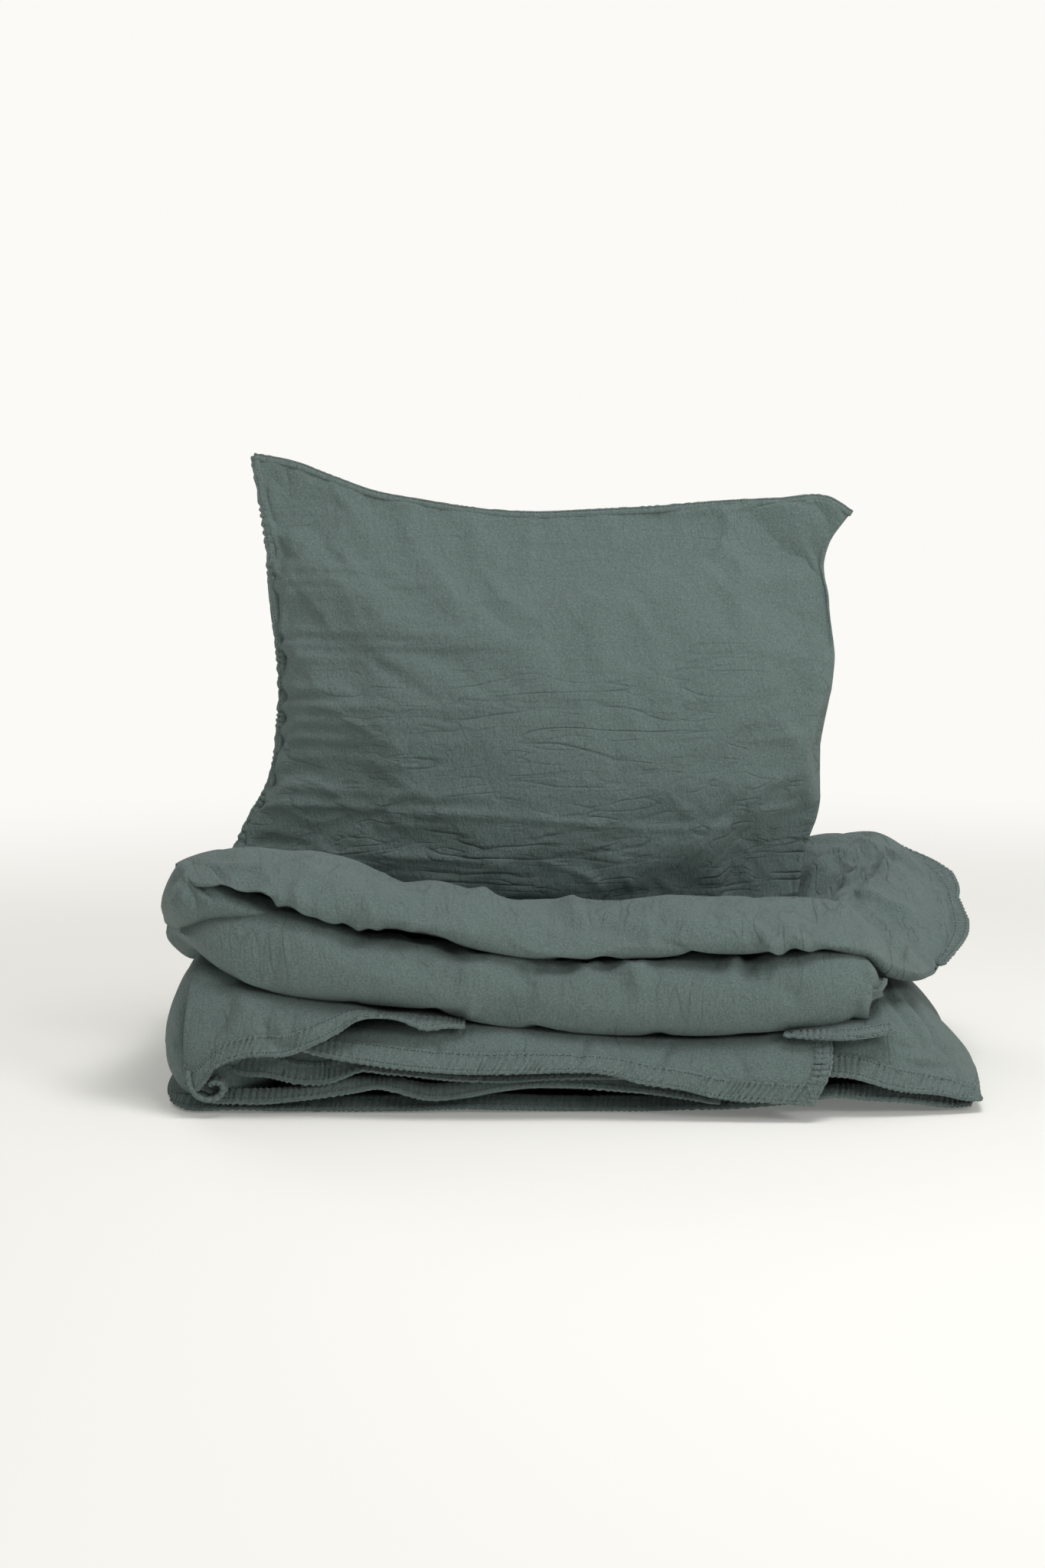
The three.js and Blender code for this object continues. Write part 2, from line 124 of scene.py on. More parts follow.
def softbox(name, place, aim, size, power):
    light = bpy.data.lights.new(name, "AREA")
    light.shape = "RECTANGLE"
    light.size, light.size_y = size
    light.energy = power
    panel = bpy.data.objects.new(name, light)
    panel.location = place
    panel.rotation_euler = (Vector(aim) - Vector(place)).to_track_quat("-Z", "Y").to_euler()
    bpy.context.collection.objects.link(panel)


stack_middle = (0, 0, 0.2)
softbox("top_light", (0.5, -0.7, 2.4), stack_middle, (1.2, 0.9), 25)
softbox("front_right_light", (1.9, -2.2, 1.5), stack_middle, (0.9, 0.9), 23)
softbox("back_light", (-1.4, 2.4, 2.0), stack_middle, (1.2, 1.2), 14)


# ---- The filled strip's lower layer --------------------------------------------------------------
# The cover with its insert inside, folded in front and behind, lying on the foot of the stack. Its
# front fold is the lower of the two rolls. It climbs to the left, where the strip doubles back.


def profile(*points):
    """A curve through (position, value) points that never overshoots them."""
    x, y = np.array(points, float).T
    width = np.diff(x)
    rise = np.diff(y) / width
    inner = np.where(
        rise[:-1] * rise[1:] > 0, 2 * rise[:-1] * rise[1:] / (rise[:-1] + rise[1:] + 1e-12), 0.0
    )
    slope = np.concatenate([rise[:1], inner, rise[-1:]])

    def at(q):
        q = np.clip(np.asarray(q, float), x[0], x[-1])
        i = np.clip(np.searchsorted(x, q) - 1, 0, len(width) - 1)
        t = (q - x[i]) / width[i]
        ends = y[i] * (1 + 2 * t) * (1 - t) ** 2 + y[i + 1] * t * t * (3 - 2 * t)
        return ends + width[i] * (slope[i] * t * (1 - t) ** 2 - slope[i + 1] * t * t * (1 - t))

    return at


def path(points):
    """A smooth line through points in space, as a function of the share of the way along it."""
    p = np.array(points, float)
    step = np.linalg.norm(np.diff(p, axis=0), axis=1)
    x = np.concatenate([[0], np.cumsum(step)]) / step.sum()
    width = np.diff(x)[:, None]
    rise = np.diff(p, axis=0) / width
    turn = (rise[:-1] * width[1:] + rise[1:] * width[:-1]) / (width[1:] + width[:-1])
    slope = np.concatenate([rise[:1], turn, rise[-1:]])

    def at(q):
        q = np.clip(np.asarray(q, float), 0, 1)
        i = np.clip(np.searchsorted(x, q) - 1, 0, len(width) - 1)
        w = width[i]
        t = (q - x[i])[..., None] / w
        ends = p[i] * (1 + 2 * t) * (1 - t) ** 2 + p[i + 1] * t * t * (3 - 2 * t)
        return ends + w * (slope[i] * t * (1 - t) ** 2 - slope[i + 1] * t * t * (1 - t))

    return at


def smooth(t):
    t = np.clip(t, 0, 1)
    return t * t * (3 - 2 * t)


def lattice_noise(p, seed):
    """Smooth noise from -1 to 1 over space, with bumps about 1 apart."""
    table = np.random.RandomState(seed).uniform(-1, 1, (32, 32, 32))
    cell = np.floor(p).astype(int)
    t = smooth(p - cell)
    total = np.zeros(p.shape[:-1])
    for corner in np.ndindex(2, 2, 2):
        i = (cell + corner) % 32
        near = np.prod(np.where(corner, t, 1 - t), axis=-1)
        total += near * table[i[..., 0], i[..., 1], i[..., 2]]
    return total


def mesh_of(name, points, closed=False):
    """A mesh of quads over a grid of points, sewn shut where its edges meet. Where it is closed,
    the grid's last column joins its first."""
    nu, nv = points.shape[:2]
    index = np.arange(nu * nv).reshape(nu, nv)
    if closed:
        index = np.concatenate([index, index[:, :1]], axis=1)
    corners = (index[:-1, :-1], index[1:, :-1], index[1:, 1:], index[:-1, 1:])
    quads = np.stack(corners, axis=-1).reshape(-1, 4)
    mesh = bpy.data.meshes.new(name)
    mesh.from_pydata(points.reshape(-1, 3).tolist(), [], quads.tolist())
    piece = bpy.data.objects.new(name, mesh)
    bpy.context.collection.objects.link(piece)
    work = bmesh.new()
    work.from_mesh(mesh)
    same_place, no_length = 2e-5, 1e-6
    bmesh.ops.remove_doubles(work, verts=work.verts, dist=same_place)
    bmesh.ops.dissolve_degenerate(work, edges=work.edges, dist=no_length)
    bmesh.ops.recalc_face_normals(work, faces=work.faces)
    work.to_mesh(mesh)
    work.free()
    mesh.shade_smooth()
    return piece


def places(piece):
    co = np.zeros(len(piece.data.vertices) * 3, np.float32)
    piece.data.vertices.foreach_get("co", co)
    return co.reshape(-1, 3).astype(float)


def normals(piece):
    no = np.zeros(len(piece.data.vertices) * 3, np.float32)
    piece.data.vertices.foreach_get("normal", no)
    return no.reshape(-1, 3).astype(float)


def move_to(piece, co):
    piece.data.vertices.foreach_set("co", co.astype(np.float32).ravel())
    piece.data.update()


def crumple(piece, spacing, depth, seed, sharp):
    """Presses creases into the cloth, with their spacing given along x, y and z. sharp is the share
    of narrow creases among them."""
    co = places(piece)
    at = co / np.array(spacing)
    at = at + 0.6 * np.stack([lattice_noise(at * 0.5, seed + k) for k in (1, 2, 3)], axis=-1)
    n = lattice_noise(at, seed)
    ridge = 1 - 2 * np.sqrt(n * n + 0.004)
    height = sharp * ridge + (1 - sharp) * lattice_noise(at * 0.7, seed + 7)
    move_to(piece, co + normals(piece) * (depth * height)[:, None])


def dented(co, no, triangles, stand, creases):
    """Points of a surface with creases pressed into it, the cloth standing up a little beside each.
    no is which way it faces at each point. creases are (depth, width, line), a line being (x, z)
    points drawn at y = stand and carried to the surface by looking from the front, a little down."""
    tree = BVHTree.FromPolygons(co.tolist(), triangles.tolist())
    look = Vector((0, math.cos(tilt), -math.sin(tilt)))
    shoulder_height, shoulder_place = 0.12, 1.7
    moved = co.copy()
    for depth, width, line in creases:
        drawn = path([(x, stand, z) for x, z in line])(np.linspace(0, 1, 9 * len(line)))
        hits = [tree.ray_cast(Vector(p) - look, look)[0] for p in drawn]
        run = np.array([tuple(hit) for hit in hits if hit is not None])
        if len(run) < 2:
            continue
        low, high = run.min(0) - 3 * width, run.max(0) + 3 * width
        near = np.nonzero(((co > low) & (co < high)).all(axis=1))[0]
        apart = np.linalg.norm(co[near, None, :] - run[None, :, :], axis=2)
        share = np.clip(apart.argmin(axis=1) / (len(run) - 1), 0.03, 0.97)
        r = apart.min(axis=1) / width
        shoulder = shoulder_height * np.exp(-((r - shoulder_place) ** 2) * 1.6)
        dip = shoulder - np.exp(-(r ** 1.4))
        dip *= np.sqrt(np.sin(np.pi * share))
        moved[near] += no[near] * (depth * dip)[:, None]
    return moved


def press(piece, stand, *creases):
    """Presses creases into a piece; see dented."""
    piece.data.calc_loop_triangles()
    triangles = np.zeros(3 * len(piece.data.loop_triangles), np.int32)
    piece.data.loop_triangles.foreach_get("vertices", triangles)
    move_to(piece, dented(places(piece), normals(piece), triangles.reshape(-1, 3), stand, creases))


def settle(piece, slack, pressure, reach, held):
    """Lets the cover find its own wrinkles: its cloth is cut larger than the shape by slack and
    blown up a little. held is each point's grip, 0 to 1, and no point moves further than reach."""
    frames = 14
    before = places(piece)
    cloth = piece.modifiers.new("cloth", "CLOTH")
    settings = cloth.settings
    settings.quality = 5
    settings.mass = 0.2
    settings.tension_stiffness = settings.compression_stiffness = 12
    settings.shear_stiffness = 4
    settings.bending_stiffness = 0.6
    settings.air_damping = 2
    settings.use_pressure = True
    settings.uniform_pressure_force = pressure
    settings.shrink_min = -slack
    settings.effector_weights.gravity = 0
    cloth.collision_settings.use_collision = False
    grip = piece.vertex_groups.new(name="grip")
    for i, weight in enumerate(held(before)):
        grip.add([i], float(weight), "REPLACE")
    settings.vertex_group_mass = "grip"
    settings.pin_stiffness = 1.0
    cloth.point_cache.frame_start = 1
    cloth.point_cache.frame_end = frames
    for f in range(1, frames + 1):
        bpy.context.scene.frame_set(f)
    seen = piece.evaluated_get(bpy.context.evaluated_depsgraph_get())
    after = np.zeros(len(before) * 3, np.float32)
    seen.data.vertices.foreach_get("co", after)
    piece.modifiers.remove(cloth)
    piece.vertex_groups.remove(piece.vertex_groups["grip"])
    bpy.context.scene.frame_set(1)
    step = after.reshape(-1, 3) - before
    length = np.linalg.norm(step, axis=1, keepdims=True)
    step *= np.minimum(1.0, reach * np.tanh(length / reach) / np.maximum(length, 1e-9))
    move_to(piece, before + step)


def subdivide(piece):
    """Splits each face in four and rounds the result off."""
    finer = piece.modifiers.new("finer", "SUBSURF")
    finer.levels = finer.render_levels = 1
    seen = piece.evaluated_get(bpy.context.evaluated_depsgraph_get())
    mesh = bpy.data.meshes.new_from_object(seen)
    piece.modifiers.remove(finer)
    piece.data = mesh
    mesh.name = piece.name
    mesh.shade_smooth()


sea_green_dye = (0.132, 0.180, 0.170)
plain_stretch = (1.0, 1.0, 1.0)


def washed_cotton(name, colour, mottle, crinkle, fuzz, creases=1.0, stretch=plain_stretch):
    """Piece-dyed cotton, washed soft: a crepe-like crinkle, a fine weave, dye that has taken
    unevenly, a faint bloom of loose fibre, and painted shade that darkens its colour along its fine
    creases. stretch is how closely its fine creases follow one another along x, y and z."""
    cloth = bpy.data.materials.new(name)
    cloth.use_nodes = True
    nodes, links = cloth.node_tree.nodes, cloth.node_tree.links
    shader = nodes["Principled BSDF"]
    shader.inputs["Roughness"].default_value = 0.92
    shader.inputs["Specular IOR Level"].default_value = 0.25
    shader.inputs["Sheen Weight"].default_value = fuzz
    shader.inputs["Sheen Roughness"].default_value = 0.6
    dye = nodes.new("ShaderNodeGroup")
    dye.node_tree = uneven_dye
    dye.inputs["Colour"].default_value = (*colour, 1)
    dye.inputs["Fleck"].default_value = mottle
    dye.inputs["Patch"].default_value = 0.07
    surface = nodes.new("ShaderNodeGroup")
    surface.node_tree = crepe
    surface.inputs["Crinkle"].default_value = crinkle
    surface.inputs["Weave"].default_value = 0.10
    surface.inputs["Creases"].default_value = creases
    surface.inputs["Stretch"].default_value = stretch
    bump = nodes.new("ShaderNodeBump")
    bump.inputs["Distance"].default_value = 0.001
    # Painted shade: along the fine creases the colour is darkened to 0.75 of itself.
    shade = nodes.new("ShaderNodeMix")
    shade.data_type = "RGBA"
    painted_shade_in_creases = 0.75
    shade.inputs["B"].default_value = (*(painted_shade_in_creases * c for c in colour), 1)
    links.new(dye.outputs["Colour"], shade.inputs["A"])
    links.new(surface.outputs["Painted_shade"], shade.inputs["Factor"])
    links.new(shade.outputs["Result"], shader.inputs["Base Color"])
    links.new(surface.outputs["Height"], bump.inputs["Height"])
    links.new(bump.outputs["Normal"], shader.inputs["Normal"])
    return cloth


def node_group(name, sockets, result, kind):
    """A shader group with number and colour inputs, each with a starting value, and one output."""
    group = bpy.data.node_groups.new(name, "ShaderNodeTree")
    for label, socket_type, value in sockets:
        socket = group.interface.new_socket(name=label, in_out="INPUT", socket_type=socket_type)
        socket.default_value = value
    group.interface.new_socket(name=result, in_out="OUTPUT", socket_type=kind)
    return group, group.nodes.new("NodeGroupInput"), group.nodes.new("NodeGroupOutput")


def math_node(group, operation, a, b=None):
    node = group.nodes.new("ShaderNodeMath")
    node.operation = operation
    for socket, value in zip(node.inputs, (a, b)):
        if isinstance(value, (int, float)):
            socket.default_value = value
        elif value is not None:
            group.links.new(value, socket)
    return node.outputs[0]


def noise(group, size, detail, stretch=plain_stretch):
    """Noise over the piece itself, with features of one size in metres, from 0 to 1."""
    place = group.nodes.new("ShaderNodeTexCoord")
    pull = group.nodes.new("ShaderNodeMapping")
    if isinstance(stretch, tuple):
        pull.inputs["Scale"].default_value = stretch
    else:
        group.links.new(stretch, pull.inputs["Scale"])
    texture = group.nodes.new("ShaderNodeTexNoise")
    texture.inputs["Scale"].default_value = 1 / size
    texture.inputs["Detail"].default_value = detail
    group.links.new(place.outputs["Object"], pull.inputs["Vector"])
    group.links.new(pull.outputs["Vector"], texture.inputs["Vector"])
    return texture.outputs["Fac"]


# Flecks of 2 mm where yarns took more dye, and broad patches where the cloth lay folded in the bath.
uneven_dye, given, result = node_group(
    "uneven_dye",
    [("Colour", "NodeSocketColor", (0.5, 0.5, 0.5, 1)), ("Fleck", "NodeSocketFloat", 0.1),
     ("Patch", "NodeSocketFloat", 0.1)],
    "Colour", "NodeSocketColor",
)
fleck = math_node(uneven_dye, "SUBTRACT", noise(uneven_dye, 0.0016, 2), 0.5)
patch = math_node(uneven_dye, "SUBTRACT", noise(uneven_dye, 0.06, 3), 0.5)
tone = math_node(
    uneven_dye, "ADD",
    math_node(uneven_dye, "MULTIPLY", fleck, given.outputs["Fleck"]),
    math_node(uneven_dye, "MULTIPLY", patch, given.outputs["Patch"]),
)
scaled = uneven_dye.nodes.new("ShaderNodeVectorMath")
scaled.operation = "SCALE"
uneven_dye.links.new(given.outputs["Colour"], scaled.inputs[0])
uneven_dye.links.new(math_node(uneven_dye, "ADD", tone, 1.0), scaled.inputs["Scale"])
uneven_dye.links.new(scaled.outputs["Vector"], result.inputs["Colour"])

# The crinkle that washing leaves between yarns of different twist, over a plain weave. It also
# gives a mask of painted shade along its fine creases, for darkening the colour there.
crepe, given, result = node_group(
    "crepe",
    [("Crinkle", "NodeSocketFloat", 1.0), ("Weave", "NodeSocketFloat", 0.1),
     ("Creases", "NodeSocketFloat", 1.0), ("Stretch", "NodeSocketVector", (1, 1, 1))],
    "Height", "NodeSocketFloat",
)
yarn_pair = 0.0011
place = crepe.nodes.new("ShaderNodeTexCoord")
axes = crepe.nodes.new("ShaderNodeSeparateXYZ")
crepe.links.new(place.outputs["Object"], axes.inputs[0])
warp = math_node(crepe, "SINE", math_node(crepe, "MULTIPLY", axes.outputs["X"], math.tau / yarn_pair))
up = math_node(crepe, "ADD", axes.outputs["Y"], axes.outputs["Z"])
weft = math_node(crepe, "SINE", math_node(crepe, "MULTIPLY", up, math.tau / yarn_pair))
weave = math_node(crepe, "MULTIPLY", math_node(crepe, "MULTIPLY", warp, weft), given.outputs["Weave"])
crinkle = math_node(
    crepe, "ADD",
    noise(crepe, 0.0030, 3, stretch=(1.5, 1, 0.7)),
    math_node(crepe, "MULTIPLY", noise(crepe, 0.009, 2, stretch=(1.4, 1, 0.6)), 1.5),
)
ground = math_node(
    crepe, "ADD", math_node(crepe, "MULTIPLY", crinkle, given.outputs["Crinkle"]), weave
)


def fine_creases(size, width, seed):
    """Thin lines pressed into the cloth where it dried crumpled; they fade in and out."""
    run = noise(crepe, size, 1.5, stretch=given.outputs["Stretch"])
    off = math_node(crepe, "ABSOLUTE", math_node(crepe, "SUBTRACT", run, 0.5))
    near = math_node(crepe, "SUBTRACT", 1.0, math_node(crepe, "DIVIDE", off, width))
    near = math_node(crepe, "MAXIMUM", near, 0.0)
    fade = math_node(crepe, "SUBTRACT", noise(crepe, size * 1.7 + seed, 1), 0.42)
    fade = math_node(crepe, "MAXIMUM", math_node(crepe, "MULTIPLY", fade, 5.0), 0.0)
    fade = math_node(crepe, "MINIMUM", fade, 1.0)
    return math_node(crepe, "MULTIPLY", math_node(crepe, "MULTIPLY", near, near), fade)


lines = math_node(
    crepe, "ADD", fine_creases(0.035, 0.045, 0.001),
    math_node(crepe, "MULTIPLY", fine_creases(0.017, 0.075, 0.003), 0.6),
)
height = math_node(
    crepe, "SUBTRACT", ground, math_node(crepe, "MULTIPLY", lines, given.outputs["Creases"])
)
crepe.links.new(height, result.inputs["Height"])
# A second output: the mask of painted shade that darkens the colour along the fine creases.
crepe.interface.new_socket(name="Painted_shade", in_out="OUTPUT", socket_type="NodeSocketFloat")
painted_crease_shade = math_node(crepe, "MULTIPLY", math_node(crepe, "MULTIPLY", lines, given.outputs["Creases"]), 0.5)
crepe.links.new(math_node(crepe, "MINIMUM", painted_crease_shade, 1.0), result.inputs["Painted_shade"])

cover_cloth = washed_cotton(
    "cover_cloth", sea_green_dye, mottle=1.1, crinkle=1.25, fuzz=0.10, creases=0.9,
    stretch=(1.3, 0.5, 0.35),
)


def finish(piece, cloth):
    """Gives a piece its cloth."""
    piece.data.materials.append(cloth)


def layer(name, left, right, front, back, top, bottom, fold, across=150, around=150):
    """A filled layer with rounded folds in front and behind and a sewn line at each end. Returns
    the piece and the sewn line at its right end, from front to back.
    left, right: x at each share of the depth. front, back: y at x. top, bottom: heights over the
    plane. fold: how far it rounds off at the front, the back, the left and the right."""
    t = np.linspace(0, 1, across)
    u = (0.5 * (1 - np.cos(np.pi * t)) + t) / 2
    # Stations are even along the outline of a typical section, three in five of them on top.
    typical_depth, typical_fold, typical_half_height = 0.45, 0.04, 0.03
    depth_share = np.linspace(0, 1, 2000)
    edge = np.minimum(depth_share, 1 - depth_share) * typical_depth / typical_fold
    rounded = typical_half_height * np.sqrt(1 - (1 - np.clip(edge, 0, 1)) ** 2)
    outline = np.hypot(np.gradient(depth_share * typical_depth), np.gradient(rounded))
    outline = np.cumsum(outline) / np.sum(outline)
    under = int(0.4 * around)
    stations = np.concatenate([
        np.linspace(0, 1, under, endpoint=False), np.linspace(1, 0, around - under, endpoint=False),
    ])
    share = np.interp(stations, outline, depth_share)
    on_top = np.where(np.arange(around) < under, -1, 1)
    left_x, right_x = left(share), right(share)
    x = left_x[None, :] + (right_x - left_x)[None, :] * u[:, None]
    y_front, y_back = front(x), back(x)
    y = y_front + (y_back - y_front) * share[None, :]
    high = top(x, y)
    thinnest = 0.004
    low = np.minimum(bottom(x, y), high - thinnest)
    reach = (right_x - left_x)[None, :]
    rounding = 1.0
    for run, radius in (
        (y - y_front, fold[0]), (y_back - y, fold[1]),
        (u[:, None] * reach, fold[2]), ((1 - u[:, None]) * reach, fold[3]),
    ):
        rounding = rounding * np.sqrt(np.clip(1 - (1 - np.clip(run / radius, 0, 1)) ** 2, 0, 1))
    z = (high + low) / 2 + on_top[None, :] * (high - low) / 2 * rounding
    points = np.stack([x, y, z], axis=-1)
    return mesh_of(name, points, closed=True), points[-1, : under + 1]


crease_height = profile(
    (-0.375, 0.168), (-0.345, 0.176), (-0.309, 0.182), (-0.285, 0.184), (-0.241, 0.178),
    (-0.178, 0.160), (-0.068, 0.143), (0.003, 0.136), (0.083, 0.139), (0.149, 0.139),
    (0.201, 0.144), (0.267, 0.139), (0.290, 0.130),
)
lower_bottom = profile(
    (-0.375, 0.152), (-0.345, 0.140), (-0.311, 0.122), (-0.259, 0.105), (-0.194, 0.097),
    (-0.115, 0.087), (-0.036, 0.076), (0.034, 0.069), (0.123, 0.069), (0.214, 0.076), (0.263, 0.086),
    (0.290, 0.098),
)


def behind_roll(y):
    """0 at the front folds, growing to 1 behind them, where the layers lie flat on each other."""
    return smooth((y + 0.19) / 0.12)


def raised_left(x):
    return smooth((-0.05 - x) / 0.3)


def lower_top(x, y):
    inward = behind_roll(y)
    return crease_height(x) * (1 - inward) + inward * (0.112 + 0.05 * raised_left(x))


def lower_underside(x, y):
    inward = behind_roll(y)
    return lower_bottom(x) * (1 - inward) + inward * (0.062 + 0.055 * raised_left(x))


lower_layer, lower_end = layer(
    "duvet_lower_layer",
    left=profile((0, -0.355), (0.1, -0.372), (0.5, -0.378), (1, -0.36)),
    right=profile((0, 0.262), (0.1, 0.273), (0.3, 0.277), (1, 0.27)),
    front=profile((-0.378, -0.165), (-0.355, -0.205), (-0.31, -0.238), (-0.22, -0.25), (0.2, -0.25),
                  (0.276, -0.238)),
    back=profile((-0.378, 0.12), (-0.33, 0.21), (-0.2, 0.236), (0.276, 0.236)),
    top=lower_top,
    bottom=lower_underside,
    fold=(0.036, 0.045, 0.04, 0.03),
)
strip_creases = (0.07, 0.07, 0.05)
crumple(lower_layer, strip_creases, 0.0028, seed=21, sharp=0.5)


def strip_grip(co):
    """The same light hold everywhere: the filling keeps the cloth from sliding away."""
    return np.full(len(co), 0.10)


settle(lower_layer, slack=0.02, pressure=0.6, reach=0.006, held=strip_grip)
subdivide(lower_layer)
# The cloth bunches where the roll is squeezed between the fold above it and the foot below.
press(
    lower_layer, -0.25,
    (0.0024, 0.008, [(-0.217, 0.113), (-0.172, 0.142), (-0.123, 0.156)]),
    (0.004, 0.007, [(-0.073, 0.146), (-0.080, 0.140), (-0.098, 0.128), (-0.104, 0.119)]),
    (0.0048, 0.006, [(-0.091, 0.104), (-0.093, 0.092)]),
    (0.004, 0.008, [(-0.307, 0.140), (-0.296, 0.128), (-0.273, 0.119)]),
    (0.008, 0.009, [(0.043, 0.141), (0.052, 0.129), (0.057, 0.114)]),
    (0.0064, 0.008, [(0.061, 0.141), (0.059, 0.125)]),
    (0.0064, 0.008, [(0.146, 0.144), (0.141, 0.135), (0.139, 0.128)]),
    (0.008, 0.008, [(0.002, 0.138), (0.007, 0.133), (0.026, 0.138)]),
    (0.0024, 0.008, [(0.210, 0.081), (0.236, 0.089), (0.258, 0.100)]),
    # the closed tuck where the roll's end is turned in
    (0.0096, 0.005, [(0.262, 0.113), (0.256, 0.102), (0.257, 0.091), (0.264, 0.087)]),
    (0.008, 0.005, [(0.268, 0.117), (0.273, 0.109), (0.274, 0.099)]),
    (0.0064, 0.005, [(0.263, 0.139), (0.261, 0.130), (0.266, 0.119)]),
)
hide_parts("cover_lower_layer", "cover_lower_end_panel", "insert_lower_layer")
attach(lower_layer, "duvet")
finish(lower_layer, cover_cloth)


# ---- The filled strip's upper layer --------------------------------------------------------------
# The same strip doubled back over the lower layer. Its front fold is the upper roll, the pillow
# stands in its middle, and its right end stands open as a broad wing behind the lower roll.


def surface_through(points):
    """A smooth height over the plane through (x, y, height) points: a thin plate bent to them."""
    p = np.array(points, float)
    n = len(p)

    def plate(r2):
        return 0.5 * r2 * np.log(np.maximum(r2, 1e-12))

    apart = ((p[:, None, :2] - p[None, :, :2]) ** 2).sum(-1)
    edge = np.column_stack([np.ones(n), p[:, :2]])
    system = np.block([[plate(apart) + 1e-6 * np.eye(n), edge], [edge.T, np.zeros((3, 3))]])
    weights = np.linalg.solve(system, np.concatenate([p[:, 2], np.zeros(3)]))

    def at(x, y):
        r2 = (x[..., None] - p[:, 0]) ** 2 + (y[..., None] - p[:, 1]) ** 2
        return plate(r2) @ weights[:n] + weights[n] + weights[n + 1] * x + weights[n + 2] * y

    return at


def crumpled_along(cloth, axis, start, end, creases_start, creases_end):
    """Lets the fine creases of one cloth, and the painted shade in them, grow from start to end
    along an axis of the piece.
    """
    nodes, links = cloth.node_tree.nodes, cloth.node_tree.links
    spot = nodes.new("ShaderNodeTexCoord")
    axes = nodes.new("ShaderNodeSeparateXYZ")
    growing = nodes.new("ShaderNodeMapRange")
    growing.inputs["From Min"].default_value = start
    growing.inputs["From Max"].default_value = end
    growing.inputs["To Min"].default_value = creases_start
    growing.inputs["To Max"].default_value = creases_end
    links.new(spot.outputs["Object"], axes.inputs[0])
    links.new(axes.outputs[axis], growing.inputs["Value"])
    surface = next(node for node in nodes if node.type == "GROUP" and node.node_tree == crepe)
    links.new(growing.outputs["Result"], surface.inputs["Creases"])


upper_top = surface_through([
    (-0.36, -0.15, 0.216), (-0.33, -0.16, 0.228), (-0.29, -0.16, 0.231), (-0.23, -0.16, 0.227),
    (-0.20, -0.16, 0.220), (-0.175, -0.16, 0.206), (-0.13, -0.16, 0.202), (-0.09, -0.155, 0.194),
    (0.0, -0.155, 0.183), (0.08, -0.15, 0.186),
    (0.20, -0.15, 0.183), (0.25, -0.14, 0.174), (0.285, -0.145, 0.150),
    (-0.33, -0.23, 0.205), (-0.2, -0.235, 0.205), (0.0, -0.235, 0.165), (0.2, -0.235, 0.168),
    (-0.33, -0.06, 0.180), (-0.13, -0.06, 0.160), (0.0, -0.06, 0.145), (0.20, -0.06, 0.150),
    (-0.30, 0.03, 0.155), (-0.1, 0.03, 0.128), (0.1, 0.03, 0.122), (0.21, 0.03, 0.140),
    (-0.33, 0.15, 0.170), (-0.1, 0.15, 0.178), (0.1, 0.15, 0.185), (0.20, 0.14, 0.194),
    (0.275, 0.12, 0.204), (0.315, 0.11, 0.202), (0.345, 0.09, 0.180), (0.385, 0.06, 0.152),
    (-0.3, 0.235, 0.150), (0.0, 0.235, 0.155), (0.2, 0.235, 0.165), (0.3, 0.22, 0.175),
    (0.30, -0.02, 0.176), (0.34, 0.0, 0.164), (0.33, -0.08, 0.138), (0.37, -0.02, 0.134),
    (0.30, -0.12, 0.142), (0.392, 0.02, 0.134),
])
upper_bottom_front = profile(
    (-0.37, 0.230), (-0.344, 0.230), (-0.329, 0.217), (-0.317, 0.206), (-0.301, 0.199),
    (-0.278, 0.193), (-0.248, 0.182), (-0.208, 0.169), (-0.178, 0.163), (-0.126, 0.156),
    (-0.068, 0.145), (0.003, 0.137), (0.083, 0.140), (0.149, 0.140), (0.201, 0.145), (0.26, 0.134),
    (0.285, 0.112), (0.33, 0.099), (0.37, 0.101), (0.40, 0.112),
)


def upper_underside(x, y):
    inward = behind_roll(y) * smooth((0.30 - x) / 0.08)
    outer = upper_bottom_front(x) + smooth((x - 0.27) / 0.05) * np.clip(y + 0.1, 0, 0.3) * 0.30
    return outer * (1 - inward) + inward * (lower_top(x, y) + 0.002)


upper_layer, upper_end = layer(
    "duvet_upper_layer",
    left=profile((0, -0.345), (0.12, -0.364), (0.5, -0.368), (1, -0.35)),
    right=profile((0, 0.315), (0.12, 0.346), (0.3, 0.368), (0.5, 0.372), (0.66, 0.360), (0.8, 0.330),
                  (1, 0.305)),
    front=profile(
        (-0.368, -0.17), (-0.335, -0.222), (-0.25, -0.24), (0.18, -0.24), (0.24, -0.226),
        (0.285, -0.19), (0.33, -0.15), (0.39, -0.09),
    ),
    back=profile((-0.368, 0.13), (-0.32, 0.21), (-0.2, 0.24), (0.2, 0.245), (0.39, 0.225)),
    top=upper_top,
    bottom=upper_underside,
    fold=(0.040, 0.055, 0.045, 0.040),
    across=160,
)
crumple(upper_layer, strip_creases, 0.0028, seed=31, sharp=0.5)
settle(upper_layer, slack=0.02, pressure=0.6, reach=0.006, held=strip_grip)
subdivide(upper_layer)
